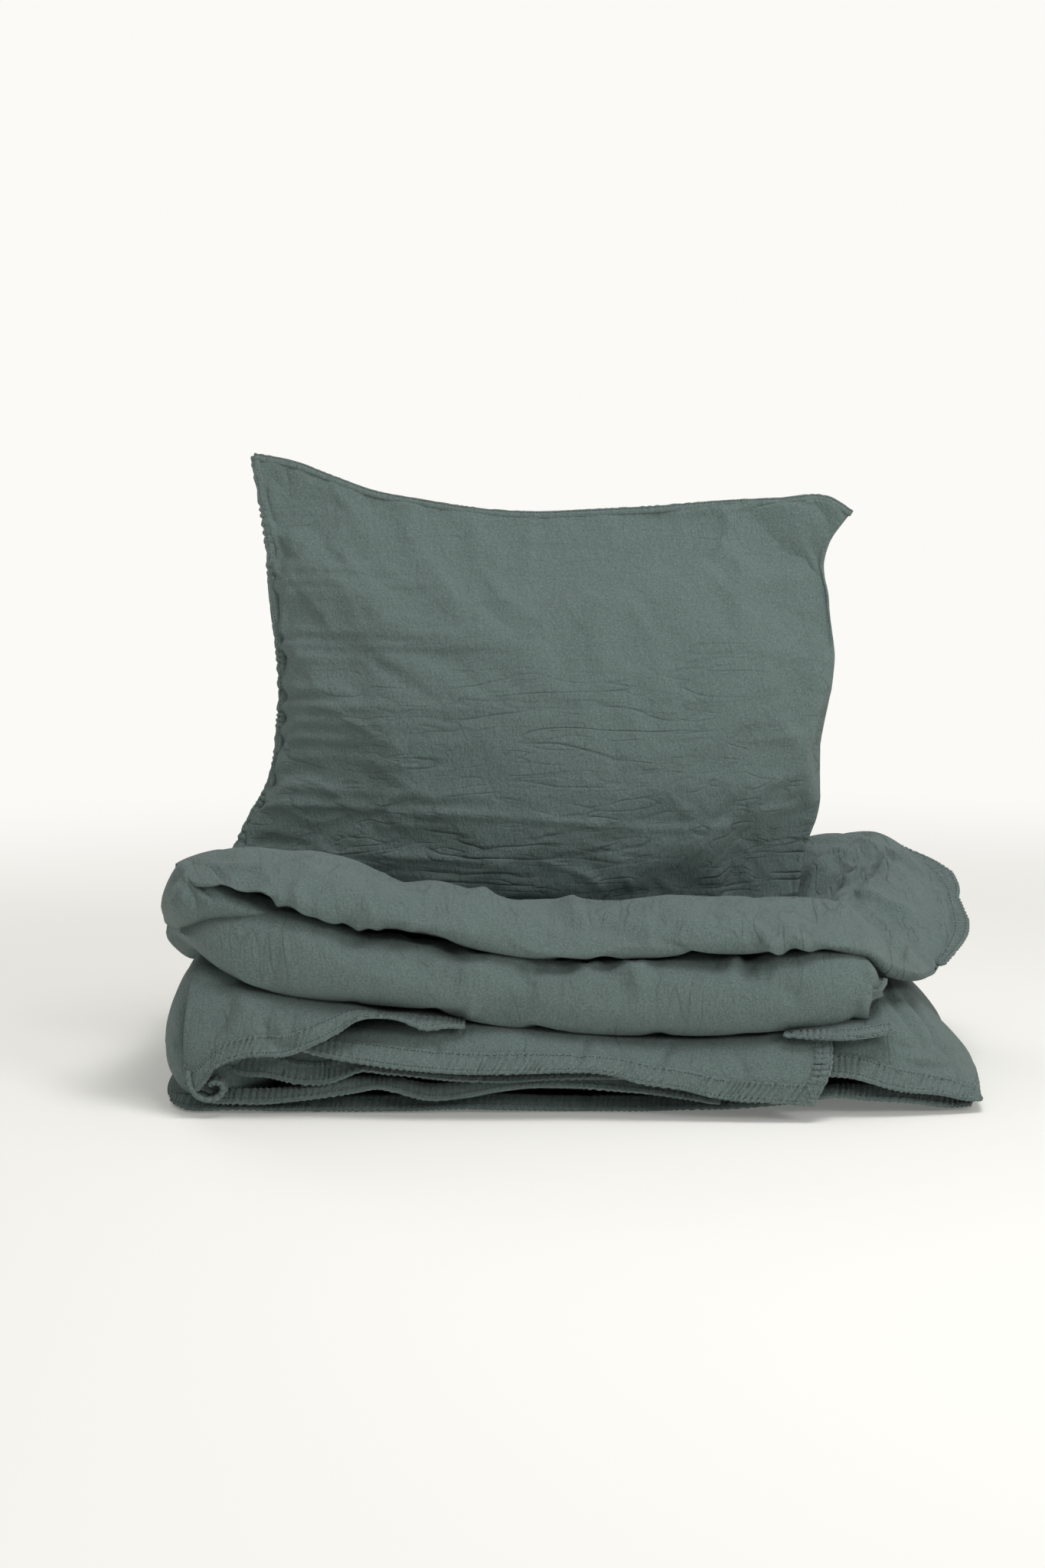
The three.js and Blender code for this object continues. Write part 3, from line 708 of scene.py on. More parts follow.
press(
    upper_layer, -0.24,
    # pinches where the roll is nipped along the crease below it
    (0.0062, 0.00616, [(-0.245, 0.212), (-0.248, 0.200), (-0.244, 0.191), (-0.231, 0.182)]),
    (0.00465, 0.00528, [(-0.263, 0.203), (-0.264, 0.193), (-0.272, 0.191)]),
    (0.0062, 0.00704, [(-0.231, 0.188), (-0.222, 0.182), (-0.206, 0.177)]),
    (0.0062, 0.00792, [(-0.195, 0.184), (-0.192, 0.175), (-0.195, 0.168)]),
    (0.00465, 0.00528, [(-0.188, 0.198), (-0.182, 0.184), (-0.178, 0.172), (-0.174, 0.166)]),
    (0.00232, 0.00792, [(-0.172, 0.216), (-0.173, 0.202), (-0.176, 0.191)]),
    (0.0031, 0.00704, [(-0.150, 0.180), (-0.146, 0.166)]),
    (0.0031, 0.00704, [(-0.100, 0.176), (-0.092, 0.160)]),
    (0.00775, 0.00616, [(0.161, 0.170), (0.172, 0.157), (0.188, 0.148)]),
    (0.00543, 0.00616, [(0.193, 0.164), (0.204, 0.155), (0.214, 0.151)]),
    # soft folds along its crest
    (0.00375, 0.006, [(-0.331, 0.227), (-0.307, 0.225), (-0.262, 0.227)]),
    (0.006, 0.01, [(-0.096, 0.209), (-0.080, 0.200), (-0.070, 0.204)]),
    (0.006, 0.008, [(-0.178, 0.230), (-0.172, 0.220), (-0.159, 0.220)]),
    (0.0045, 0.009, [(-0.014, 0.200), (-0.001, 0.193), (0.002, 0.178)]),
    (0.003, 0.006, [(0.154, 0.194), (0.153, 0.183), (0.159, 0.170)]),
)
press(
    upper_layer, -0.10,
    # the hollow between the roll and the wing
    (0.0104, 0.01, [(0.265, 0.166), (0.276, 0.157), (0.287, 0.143), (0.299, 0.128), (0.313, 0.119)]),
    # the fan of creases that spreads from the pillow's foot
    (0.0095, 0.0056, [(0.222, 0.179), (0.241, 0.197), (0.261, 0.212), (0.275, 0.219)]),
    (0.0114, 0.0056, [(0.230, 0.177), (0.253, 0.200), (0.270, 0.208), (0.281, 0.218)]),
    (0.0095, 0.0056, [(0.247, 0.171), (0.267, 0.185), (0.286, 0.194), (0.300, 0.203)]),
    (0.0076, 0.0056, [(0.250, 0.168), (0.270, 0.174), (0.289, 0.174)]),
    (0.0076, 0.0048, [(0.270, 0.203), (0.279, 0.194), (0.286, 0.188)]),
    (0.0057, 0.0048, [(0.297, 0.211), (0.308, 0.199), (0.306, 0.185)]),
    (0.0057, 0.0056, [(0.352, 0.151), (0.350, 0.130)]),
    (0.0057, 0.0056, [(0.325, 0.122), (0.335, 0.110)]),
    # the crumpled ridge and edge of the wing
    (0.0080, 0.0075, [(0.288, 0.229), (0.300, 0.216), (0.305, 0.200), (0.301, 0.187)]),
    (0.0070, 0.0060, [(0.312, 0.219), (0.326, 0.207), (0.345, 0.196)]),
    (0.0060, 0.0065, [(0.356, 0.180), (0.360, 0.165), (0.361, 0.150)]),
    (0.0060, 0.0090, [(0.276, 0.182), (0.298, 0.168), (0.326, 0.160)]),
)
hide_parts("cover_upper_layer", "cover_upper_end_panel", "insert_upper_layer")
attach(upper_layer, "upper_fold")
# Its right end, where the pillow presses it back into a wing, is crumpled most, with the most
# painted shade in its fine creases.
upper_cloth = washed_cotton(
    "upper_layer_cloth", sea_green_dye, mottle=1.1, crinkle=1.25, fuzz=0.10,
    stretch=(1.5, 0.45, 0.45),
)
crumpled_along(upper_cloth, "X", 0.17, 0.30, 0.9, 1.7)
finish(upper_layer, upper_cloth)


# ---- The left bend -------------------------------------------------------------------------------
# Where the strip doubles back: the cloth goes round the end of the lower layer in one soft lobe,
# drawn in to a pinch at the top and tucked between the two rolls.

bend_top = profile(
    (-0.388, 0.176), (-0.378, 0.196), (-0.366, 0.210), (-0.352, 0.220), (-0.335, 0.215),
    (-0.30, 0.197), (-0.235, 0.175),
)
bend_bottom = profile((-0.388, 0.168), (-0.36, 0.160), (-0.315, 0.172), (-0.235, 0.174))


def sunk_behind(y):
    """How far the bend drops from its front to its back."""
    return 0.060 * smooth((y + 0.19) / 0.22)


bend, _ = layer(
    "duvet_left_bend",
    left=profile((0, -0.362), (0.15, -0.379), (0.4, -0.384), (1, -0.37)),
    right=profile((0, -0.235), (1, -0.235)),
    front=profile(
        (-0.388, -0.15), (-0.375, -0.195), (-0.34, -0.222), (-0.30, -0.228), (-0.235, -0.20)
    ),
    back=profile((-0.388, 0.10), (-0.36, 0.19), (-0.3, 0.215), (-0.235, 0.22)),
    top=lambda x, y: bend_top(x) - sunk_behind(y),
    bottom=lambda x, y: bend_bottom(x) - sunk_behind(y),
    fold=(0.04, 0.05, 0.018, 0.02),
    across=90,
)
crumple(bend, strip_creases, 0.0018, seed=41, sharp=0.35)
settle(bend, slack=0.02, pressure=0.6, reach=0.004, held=strip_grip)
subdivide(bend)
press(
    bend, -0.21,
    (0.0042, 0.0056, [(-0.343, 0.226), (-0.357, 0.216), (-0.364, 0.202)]),
    (0.0056, 0.0056, [(-0.343, 0.225), (-0.348, 0.211), (-0.340, 0.193), (-0.333, 0.175)]),
    (0.0056, 0.0056, [(-0.341, 0.223), (-0.333, 0.205), (-0.319, 0.191)]),
    (0.0042, 0.0056, [(-0.357, 0.214), (-0.353, 0.205)]),
)
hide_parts("cover_bend", "insert_bend")
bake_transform(bend)
finish(bend, cover_cloth)


# ---- The foot of the stack -----------------------------------------------------------------------
# The end of the duvet that was folded first. Its filled part lies flat under the strip, and its left
# edge is turned up into a fold that closes the stack.

plies_below = 0.009
foot_top = profile((-0.33, 0.100), (-0.26, 0.085), (-0.19, 0.075), (0.03, 0.058), (0.3, 0.060))
foot, _ = layer(
    "duvet_foot",
    left=profile((0, -0.33), (1, -0.33)),
    right=profile((0, 0.285), (1, 0.292)),
    front=profile((-0.33, -0.150), (0.0, -0.175), (0.2, -0.19), (0.292, -0.17)),
    back=profile((-0.33, 0.232), (0.25, 0.236), (0.292, 0.215)),
    top=lambda x, y: foot_top(x) - 0.012 * smooth((y + 0.12) / 0.15),
    bottom=lambda x, y: np.full_like(x, plies_below),
    fold=(0.03, 0.035, 0.03, 0.035),
    across=80, around=80,
)
crumple(foot, (0.09, 0.09, 0.06), 0.003, seed=51, sharp=0.4)
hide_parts("insert_foot", "foot_sheet_second", "foot_sheet_second_hem")
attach(foot, "duvet")
finish(foot, cover_cloth)

left_fold_top = profile((-0.376, 0.100), (-0.34, 0.128), (-0.26, 0.108))
left_fold, _ = layer(
    "duvet_left_fold",
    left=profile((0, -0.362), (0.08, -0.373), (0.5, -0.376), (1, -0.366)),
    right=profile((0, -0.26), (1, -0.26)),
    front=profile((-0.376, -0.205), (-0.36, -0.226), (-0.33, -0.234), (-0.26, -0.20)),
    back=profile((-0.376, 0.19), (-0.34, 0.226), (-0.26, 0.232)),
    top=lambda x, y: left_fold_top(x),
    bottom=lambda x, y: np.full_like(x, plies_below),
    fold=(0.028, 0.04, 0.038, 0.03),
    across=50, around=110,
)
press(
    left_fold, -0.23,
    (0.003, 0.008, [(-0.366, 0.085), (-0.358, 0.060), (-0.362, 0.030)]),
    (0.007, 0.008, [(-0.346, 0.115), (-0.346, 0.070), (-0.346, 0.025)]),
)
crumple(left_fold, strip_creases, 0.0025, seed=61, sharp=0.4)
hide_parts("cover_left_fold", "insert_left_fold")
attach(left_fold, "duvet")
finish(left_fold, cover_cloth)


# ---- The cover's loose foot end ------------------------------------------------------------------
# Four plies of the cover past the end of the insert: two lie on the floor, two drape over the front.
# Each open end has a double-turned hem, puckered by washing along its two rows of stitching.

ply = 0.0012
hem_width = 0.021
stitch_pitch = 0.0032
stitch_size = (0.0026, 0.0010, 0.0009)
band_station = 0.0013
hem_cloth = washed_cotton(
    "hem_cloth", (0.138, 0.186, 0.176), mottle=1.2, crinkle=1.3, fuzz=0.12, creases=0.6
)
thread_finish = washed_cotton(
    "thread", (0.030, 0.042, 0.040), mottle=0.2, crinkle=0.2, fuzz=0.05, creases=0.0
)


def spread(rows, across, down):
    """A grid of points over a sheet that passes through rows, back to front, each left to right."""
    lines = [path(row)(np.linspace(0, 1, across)) for row in rows]
    return np.stack([path(column)(np.linspace(0, 1, down)) for column in zip(*lines)])


def facing(grid):
    """Which way a grid of points faces, at each point."""
    n = np.cross(np.gradient(grid, axis=0), np.gradient(grid, axis=1))
    return n / np.maximum(np.linalg.norm(n, axis=2, keepdims=True), 1e-12)


def slab(name, grid, thickness):
    """A closed body of one thickness about a grid of points, brought to an edge at both ends."""
    lift = facing(grid) * thickness / 2
    lift[0] = lift[-1] = 0
    return mesh_of(name, np.concatenate([grid + lift, (grid - lift)[:, ::-1]], axis=1), closed=True)


def creased(grid, spacing, depth, seed):
    """A grid of points with small creases all over, their spacing given along x, y and z."""
    at = grid / np.array(spacing)
    n = lattice_noise(at + 0.5 * lattice_noise(at * 0.6, seed + 1)[..., None], seed)
    height = 0.5 * (1 - 2 * np.sqrt(n * n + 0.004)) + 0.5 * lattice_noise(at * 0.8, seed + 2)
    return grid + facing(grid) * (depth * height)[..., None]


def along_edge(grid, width, steps, pitch):
    """The strip of a grid that lies within width of its last column's edge, from inside to edge,
    with stations about pitch apart along it."""
    inward = grid[:, ::-1]
    away = np.cumsum(np.linalg.norm(np.diff(inward, axis=1), axis=2), axis=1)
    away = np.concatenate([np.zeros((len(grid), 1)), away], axis=1)
    want = np.linspace(width, 0, steps)
    strip = np.stack([
        [np.interp(want, away[i], inward[i, :, k]) for k in range(3)] for i in range(len(grid))
    ]).transpose(0, 2, 1)
    run = np.linalg.norm(np.diff(strip[:, -1], axis=0), axis=1)
    at = np.concatenate([[0], np.cumsum(run)])
    stations = np.linspace(0, at[-1], max(8, int(at[-1] / pitch)))
    return np.stack([
        [np.interp(stations, at, strip[:, j, k]) for k in range(3)] for j in range(steps)
    ]).transpose(2, 0, 1)


def creases_in(grid, stand, *creases):
    """Presses creases into a grid of points; see dented."""
    nu, nv = grid.shape[:2]
    index = np.arange(nu * nv).reshape(nu, nv)
    a, b, c, d = (i.ravel() for i in (index[:-1, :-1], index[1:, :-1], index[1:, 1:], index[:-1, 1:]))
    triangles = np.concatenate([np.stack([a, b, c], axis=1), np.stack([a, c, d], axis=1)])
    towards = facing(grid).reshape(-1, 3)
    towards *= np.where(towards[:, 1:2] > 0, -1, 1)
    return dented(grid.reshape(-1, 3), towards, triangles, stand, creases).reshape(grid.shape)


def stitched_band(name, strip, rows, seed, pucker=0.0011, pitch=0.0058, thickness=0.003):
    """A band of folded cloth over a strip of points, puckered and ragged at its free edge, with its
    rows of stitches as a piece on it. rows are their places across the band, from 0 to 1."""
    wander_length, ditch_width, ditch_depth, puff_height = 0.02, 0.0011, 0.0008, 0.0007
    run = np.linalg.norm(np.diff(strip[:, -1], axis=0), axis=1)
    at = np.concatenate([[0], np.cumsum(run)])
    across = np.linspace(0, 1, strip.shape[1])
    band_width = np.linalg.norm(strip[len(strip) // 2, -1] - strip[len(strip) // 2, 0])
    wander = np.stack([at / wander_length, np.full_like(at, seed), np.zeros_like(at)], axis=-1)
    beat = 2 * np.pi * (at / pitch + 1.3 * lattice_noise(wander, seed))
    swell = 0.65 + 0.6 * lattice_noise(wander * 0.7, seed + 5)
    drawn = np.sin(np.pi * np.clip(across * 0.9 + 0.1, 0, 1)) ** 0.5
    lean = beat[:, None] + 1.5 * across[None, :]
    wave = (np.sin(lean) + 0.4 * np.sin(2.3 * lean + 1)) * (swell[:, None] * drawn[None, :])
    ditch = sum(np.exp(-(((across - row) * band_width / ditch_width) ** 2)) for row in rows)
    relief = puff_height * np.sin(np.pi * across) ** 0.7 - ditch_depth * ditch
    strip = strip + facing(strip) * (pucker * wave + relief[None, :])[..., None]
    outward = strip[:, -1] - strip[:, -2]
    outward /= np.linalg.norm(outward, axis=1, keepdims=True)
    ragged = pucker * (0.5 * np.sin(beat * 0.93 + 2) + 1.4 * lattice_noise(wander * 0.5, seed + 3))
    strip[:, -3:] += outward[:, None, :] * (ragged[:, None] * np.array([0.3, 0.7, 1.0]))[..., None]
    band = slab(name, strip, thickness)
    finish(band, hem_cloth)
    up = facing(strip)
    centres, axes = [], []
    half_millimetre = 5e-4
    for share in rows:
        j, f = divmod(share * (strip.shape[1] - 1), 1)
        line = strip[:, int(j)] * (1 - f) + strip[:, int(j) + 1] * f
        run = np.concatenate([[0], np.cumsum(np.linalg.norm(np.diff(line, axis=0), axis=1))])
        spots = np.arange(stitch_pitch, run[-1] - stitch_pitch, stitch_pitch)

        def between(values, spots=spots, run=run):
            return np.stack([np.interp(spots, run, values[:, k]) for k in range(3)], axis=-1)

        centre, n = between(line), between(up[:, int(j)])
        ahead = between(line, spots + half_millimetre) - centre
        tangent = ahead / np.linalg.norm(ahead, axis=1, keepdims=True)
        for side in (1, -1):
            centres.append(centre + side * n * (thickness / 2))
            axes.append(np.stack([tangent, np.cross(n, tangent), n], axis=1))
    thread = grains(name + "_stitches", np.concatenate(centres), np.concatenate(axes), stitch_size)
    finish(thread, thread_finish)
    return band, thread


def hem(name, grid, seed, width=hem_width, rows=(0.14, 0.84)):
    """The double-turned hem along a grid's last edge."""
    return stitched_band(name, along_edge(grid, width, 16, band_station), rows, seed)


def flange(name, line, centre, width, rows, seed, pucker=0.0011, pitch=0.0058):
    """A side seam's flange: it stands out from a sewn line, away from a point amid the piece. width
    lists how far it stands out at even shares of the line."""
    run = np.concatenate([[0], np.cumsum(np.linalg.norm(np.diff(line, axis=0), axis=1))])
    spots = np.arange(0, run[-1], band_station)
    line = np.stack([np.interp(spots, run, line[:, k]) for k in range(3)], axis=-1)
    tangent = np.gradient(line, axis=0)
    tangent /= np.linalg.norm(tangent, axis=1, keepdims=True)
    outward = line - np.array(centre)
    outward -= (outward * tangent).sum(axis=1, keepdims=True) * tangent
    outward /= np.linalg.norm(outward, axis=1, keepdims=True)
    widths = np.interp(spots / spots[-1], np.linspace(0, 1, len(width)), width)
    tucked_in = 0.004
    out = np.linspace(0, 1, 12)[None, :] * (widths[:, None] + tucked_in) - tucked_in
    strip = line[:, None] + outward[:, None] * out[..., None]
    return stitched_band(name, strip, rows, seed, pucker, pitch)


def grains(name, centres, axes, size):
    """Small closed grains, one at each centre, each pointed at both ends along its first axis."""
    corners = np.array([(1, 0, 0), (-1, 0, 0), (0, 1, 0), (0, -1, 0), (0, 0, 1), (0, 0, -1)], float)
    corners *= np.array(size) / 2
    points = centres[:, None, :] + np.einsum("kc,ncd->nkd", corners, axes)
    faces = np.array([
        (0, 2, 4), (2, 1, 4), (1, 3, 4), (3, 0, 4), (2, 0, 5), (1, 2, 5), (3, 1, 5), (0, 3, 5),
    ])
    every = (faces[None] + 6 * np.arange(len(centres))[:, None, None]).reshape(-1, 3)
    mesh = bpy.data.meshes.new(name)
    mesh.from_pydata(points.reshape(-1, 3).tolist(), [], every.tolist())
    piece = bpy.data.objects.new(name, mesh)
    bpy.context.collection.objects.link(piece)
    return piece


def on_body(body, *pieces):
    """Makes pieces move with one body of the model."""
    for piece in pieces:
        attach(piece, body)


bottom = spread([
    [(-0.378, 0.235, 0.002), (-0.1, 0.238, 0.002), (0.2, 0.238, 0.002), (0.374, 0.225, 0.002)],
    [(-0.378, 0.0, 0.002), (-0.1, 0.0, 0.002), (0.2, 0.0, 0.002), (0.377, 0.0, 0.002)],
    [(-0.373, -0.16, 0.002), (-0.1, -0.17, 0.002), (0.2, -0.18, 0.005), (0.370, -0.16, 0.002)],
    [
        (-0.368, -0.185, 0.005), (-0.352, -0.208, 0.009), (-0.30, -0.214, 0.010), (-0.2, -0.214, 0.010),
        (-0.1, -0.214, 0.012), (0.0, -0.212, 0.010), (0.1, -0.215, 0.011), (0.2, -0.228, 0.022),
        (0.257, -0.228, 0.023), (0.337, -0.212, 0.012), (0.362, -0.196, 0.005),
    ],
    [
        (-0.366, -0.195, 0.003), (-0.352, -0.220, 0.003), (-0.30, -0.228, 0.004), (-0.2, -0.228, 0.003),
        (-0.1, -0.228, 0.005), (0.0, -0.225, 0.003), (0.1, -0.228, 0.004), (0.2, -0.238, 0.013),
        (0.231, -0.240, 0.018), (0.257, -0.238, 0.015), (0.297, -0.232, 0.011), (0.337, -0.222, 0.005),
        (0.360, -0.205, 0.003),
    ],
], 260, 60)
sheet_creases = (0.05, 0.05, 0.05)
lowest_cloth = 0.0022
bottom = creased(bottom, sheet_creases, 0.0010, 71)
bottom[..., 2] = np.maximum(bottom[..., 2], lowest_cloth)
bottom_sheet = slab("foot_bottom_sheet", bottom, ply)
finish(bottom_sheet, cover_cloth)
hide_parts("foot_sheet_bottom", "foot_sheet_bottom_hem")
bottom_hem, bottom_stitches = hem("foot_bottom_hem", bottom, seed=5)
on_body("duvet", bottom_sheet, bottom_hem, bottom_stitches)

floor_ply = spread([
    [(-0.32, -0.12, 0.010), (-0.1, -0.12, 0.010), (0.13, -0.12, 0.010)],
    [(-0.325, -0.20, 0.014), (-0.1, -0.20, 0.018), (0.13, -0.20, 0.016)],
    [
        (-0.325, -0.230, 0.017), (-0.26, -0.232, 0.020), (-0.19, -0.234, 0.032), (-0.161, -0.234, 0.031),
        (-0.134, -0.234, 0.025), (-0.0705, -0.234, 0.033), (0.0, -0.234, 0.036), (0.13, -0.234, 0.020),
    ],
    [
        (-0.325, -0.235, 0.011), (-0.26, -0.24, 0.013), (-0.194, -0.243, 0.023), (-0.177, -0.243, 0.026),
        (-0.161, -0.243, 0.023), (-0.134, -0.243, 0.016), (-0.100, -0.243, 0.0175),
        (-0.0705, -0.243, 0.023), (-0.043, -0.243, 0.0265), (0.006, -0.243, 0.0265),
        (0.06, -0.243, 0.022), (0.13, -0.243, 0.012),
    ],
], 200, 30)
inner_ply = spread([
    [(-0.33, -0.12, 0.085), (-0.2, -0.12, 0.075), (-0.05, -0.12, 0.065), (0.05, -0.12, 0.058)],
    [(-0.33, -0.20, 0.080), (-0.2, -0.205, 0.070), (-0.05, -0.21, 0.060), (0.05, -0.21, 0.052)],
    [
        (-0.328, -0.228, 0.056), (-0.3035, -0.23, 0.037), (-0.2735, -0.232, 0.034),
        (-0.247, -0.235, 0.029), (-0.222, -0.238, 0.030), (-0.204, -0.24, 0.037),
        (-0.194, -0.24, 0.041), (-0.168, -0.24, 0.039), (-0.122, -0.24, 0.034), (-0.077, -0.24, 0.032),
        (0.0, -0.24, 0.034), (0.05, -0.24, 0.034),
    ],
], 200, 30)
for name, grid, seed in (("foot_floor_ply", floor_ply, 81), ("foot_inner_ply", inner_ply, 91)):
    sheet = slab(name, creased(grid, sheet_creases, 0.0015, seed), ply)
    finish(sheet, cover_cloth)
    band, thread = hem(name + "_hem", grid, seed=seed)
    on_body("duvet", sheet, band, thread)
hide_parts("foot_sheet_third", "foot_sheet_third_hem")

flap = spread([
    [
        (-0.25, -0.16, 0.066), (-0.16, -0.16, 0.076), (-0.05, -0.16, 0.070), (0.05, -0.16, 0.062),
        (0.13, -0.16, 0.062), (0.225, -0.16, 0.070),
    ],
    [
        (-0.25, -0.232, 0.068), (-0.17, -0.238, 0.074), (-0.09, -0.243, 0.073), (0.0, -0.243, 0.066),
        (0.08, -0.243, 0.061), (0.15, -0.243, 0.062), (0.229, -0.243, 0.070),
    ],
    [
        (-0.249, -0.243, 0.067), (-0.20, -0.252, 0.060), (-0.12, -0.257, 0.054), (-0.03, -0.258, 0.053),
        (0.05, -0.260, 0.046), (0.12, -0.262, 0.039), (0.226, -0.261, 0.046),
    ],
    [
        (-0.248, -0.248, 0.064), (-0.221, -0.254, 0.057), (-0.178, -0.258, 0.050),
        (-0.0995, -0.262, 0.043), (-0.035, -0.262, 0.044), (0.027, -0.262, 0.0426),
        (0.050, -0.263, 0.037), (0.0945, -0.264, 0.029), (0.121, -0.265, 0.0225),
        (0.173, -0.266, 0.018), (0.211, -0.266, 0.015),
    ],
], 260, 60)
flap = creased(flap, (0.06, 0.06, 0.04), 0.0014, 101)
flap = creases_in(
    flap, -0.26,
    (0.00396, 0.0045, [(0.010, 0.072), (0.006, 0.061), (-0.001, 0.047)]),
    (0.00396, 0.0045, [(0.086, 0.068), (0.080, 0.058), (0.067, 0.042)]),
    (0.0027, 0.0054, [(-0.130, 0.075), (-0.123, 0.066), (-0.130, 0.055)]),
    (0.0027, 0.0054, [(0.141, 0.064), (0.149, 0.048), (0.147, 0.031)]),
)
front_flap = slab("foot_front_flap", flap, ply)
finish(front_flap, cover_cloth)
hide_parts("foot_sheet_top", "foot_sheet_top_hem", "foot_sheet_top_side_seam")
flap_hem, flap_stitches = hem("foot_front_flap_hem", flap, seed=7)
flap_seam, flap_seam_stitches = hem(
    "foot_front_flap_side_seam", flap.transpose(1, 0, 2), width=0.017, rows=(0.1, 0.45, 0.85), seed=9
)
on_body("duvet", front_flap, flap_hem, flap_stitches, flap_seam, flap_seam_stitches)

left = spread([
    [
        (-0.337, -0.16, 0.112), (-0.30, -0.16, 0.104), (-0.24, -0.16, 0.094), (-0.18, -0.16, 0.088),
        (-0.10, -0.16, 0.080),
    ],
    [
        (-0.345, -0.222, 0.117), (-0.30, -0.236, 0.108), (-0.24, -0.240, 0.098),
        (-0.18, -0.242, 0.0945), (-0.14, -0.242, 0.089), (-0.098, -0.238, 0.0835),
    ],
    [
        (-0.349, -0.236, 0.085), (-0.31, -0.250, 0.082), (-0.26, -0.252, 0.083), (-0.215, -0.250, 0.091),
        (-0.18, -0.250, 0.094), (-0.14, -0.248, 0.087), (-0.098, -0.244, 0.0825),
    ],
    [
        (-0.349, -0.242, 0.028), (-0.339, -0.249, 0.024), (-0.331, -0.252, 0.032),
        (-0.321, -0.254, 0.046), (-0.305, -0.256, 0.054), (-0.292, -0.257, 0.057), (-0.258, -0.258, 0.059),
        (-0.242, -0.258, 0.065), (-0.226, -0.258, 0.072), (-0.213, -0.257, 0.079),
        (-0.194, -0.256, 0.090), (-0.175, -0.255, 0.0935), (-0.156, -0.254, 0.090),
        (-0.132, -0.252, 0.081), (-0.113, -0.250, 0.082), (-0.098, -0.248, 0.081),
    ],
], 180, 70)
left = creased(left, (0.05, 0.05, 0.06), 0.0025, 111)
left = creases_in(
    left, -0.25,
    (0.008, 0.0081, [(-0.313, 0.115), (-0.309, 0.104), (-0.314, 0.088), (-0.330, 0.072)]),
    (0.0024, 0.0054, [(-0.248, 0.095), (-0.253, 0.081), (-0.252, 0.068)]),
    (0.004, 0.0054, [(-0.270, 0.067), (-0.249, 0.066), (-0.235, 0.072)]),
    (0.0048, 0.0081, [(-0.280, 0.091), (-0.273, 0.077), (-0.277, 0.067)]),
)
left_sheet = slab("foot_left_sheet", left, ply)
finish(left_sheet, cover_cloth)
left_hem, left_stitches = hem("foot_left_sheet_hem", left, seed=13)
# The hem's end, rolled up on itself at the stack's left corner.
curl = path([
    (-0.3448, 0, 0.0436), (-0.3443, 0, 0.0350), (-0.3422, 0, 0.0278), (-0.3383, 0, 0.0221),
    (-0.3305, 0, 0.0178), (-0.3221, 0, 0.0178), (-0.3158, 0, 0.0221), (-0.3135, 0, 0.0278),
    (-0.3168, 0, 0.0321), (-0.3230, 0, 0.0321), (-0.3259, 0, 0.0292),
])(np.linspace(0, 1, 60))
curl = np.stack([
    np.stack([curl[:, 0], np.full(60, y), curl[:, 2]], axis=-1) for y in np.linspace(-0.232, -0.251, 16)
], axis=1)
hem_curl, hem_curl_stitches = stitched_band(
    "foot_left_hem_curl", curl, (0.3, 0.8), seed=14, thickness=0.0045
)
on_body("duvet", left_sheet, left_hem, left_stitches, hem_curl, hem_curl_stitches)

corner = spread([
    [
        (0.20, 0.205, 0.058), (0.26, 0.205, 0.076), (0.31, 0.205, 0.066), (0.35, 0.20, 0.034),
        (0.370, 0.195, 0.009),
    ],
    [
        (0.20, 0.08, 0.075), (0.26, 0.08, 0.093), (0.31, 0.08, 0.086), (0.35, 0.08, 0.050),
        (0.372, 0.08, 0.009),
    ],
    [
        (0.20, -0.05, 0.070), (0.26, -0.05, 0.096), (0.310, -0.05, 0.092), (0.350, -0.05, 0.052),
        (0.374, -0.05, 0.009),
    ],
    [
        (0.20, -0.14, 0.070), (0.25, -0.14, 0.090), (0.290, -0.14, 0.097), (0.312, -0.14, 0.088),
        (0.334, -0.14, 0.067), (0.353, -0.135, 0.049), (0.369, -0.13, 0.030), (0.374, -0.13, 0.009),
    ],
    [
        (0.205, -0.225, 0.066), (0.25, -0.225, 0.075), (0.29, -0.22, 0.072), (0.325, -0.21, 0.052),
        (0.348, -0.20, 0.038), (0.365, -0.19, 0.025), (0.369, -0.185, 0.009),
    ],
    [
        (0.21, -0.252, 0.041), (0.247, -0.251, 0.038), (0.284, -0.247, 0.026), (0.330, -0.238, 0.019),
        (0.350, -0.232, 0.014), (0.366, -0.226, 0.012),
    ],
], 110, 150)
corner = creased(corner, (0.05, 0.06, 0.05), 0.0022, 121)
corner = creases_in(
    corner, -0.20,
    (0.0068, 0.0072, [(0.283, 0.106), (0.301, 0.081), (0.322, 0.053)]),
    (0.0068, 0.0064, [(0.304, 0.100), (0.320, 0.078), (0.339, 0.045)]),
    (0.0051, 0.0064, [(0.263, 0.067), (0.298, 0.057), (0.339, 0.058)]),
    (0.0051, 0.0048, [(0.277, 0.051), (0.312, 0.040), (0.350, 0.040)]),
)
corner_sheet = slab("foot_right_corner", corner, ply)
finish(corner_sheet, cover_cloth)
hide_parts("foot_corner_right", "foot_corner_right_seam")
corner_hem, corner_stitches = hem("foot_right_corner_hem", corner, seed=15)
corner_seam, corner_seam_stitches = hem(
    "foot_right_corner_seam", corner.transpose(1, 0, 2), width=0.016, rows=(0.2, 0.8), seed=17
)
on_body("duvet", corner_sheet, corner_hem, corner_stitches, corner_seam, corner_seam_stitches)


# ---- The strip's side seams ----------------------------------------------------------------------
# Each layer's right end is sewn shut along the cover's side seam, whose flange stands out with two
# rows of stitches. A loose corner of the cover lies under the end of the lower roll.

lower_seam, lower_seam_stitches = flange(
    "lower_side_seam", lower_end, (0.20, 0.0, 0.10), width=(0.010, 0.010), rows=(0.45, 0.8), seed=21
)
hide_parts("cover_lower_side_seam")
on_body("duvet", lower_seam, lower_seam_stitches)

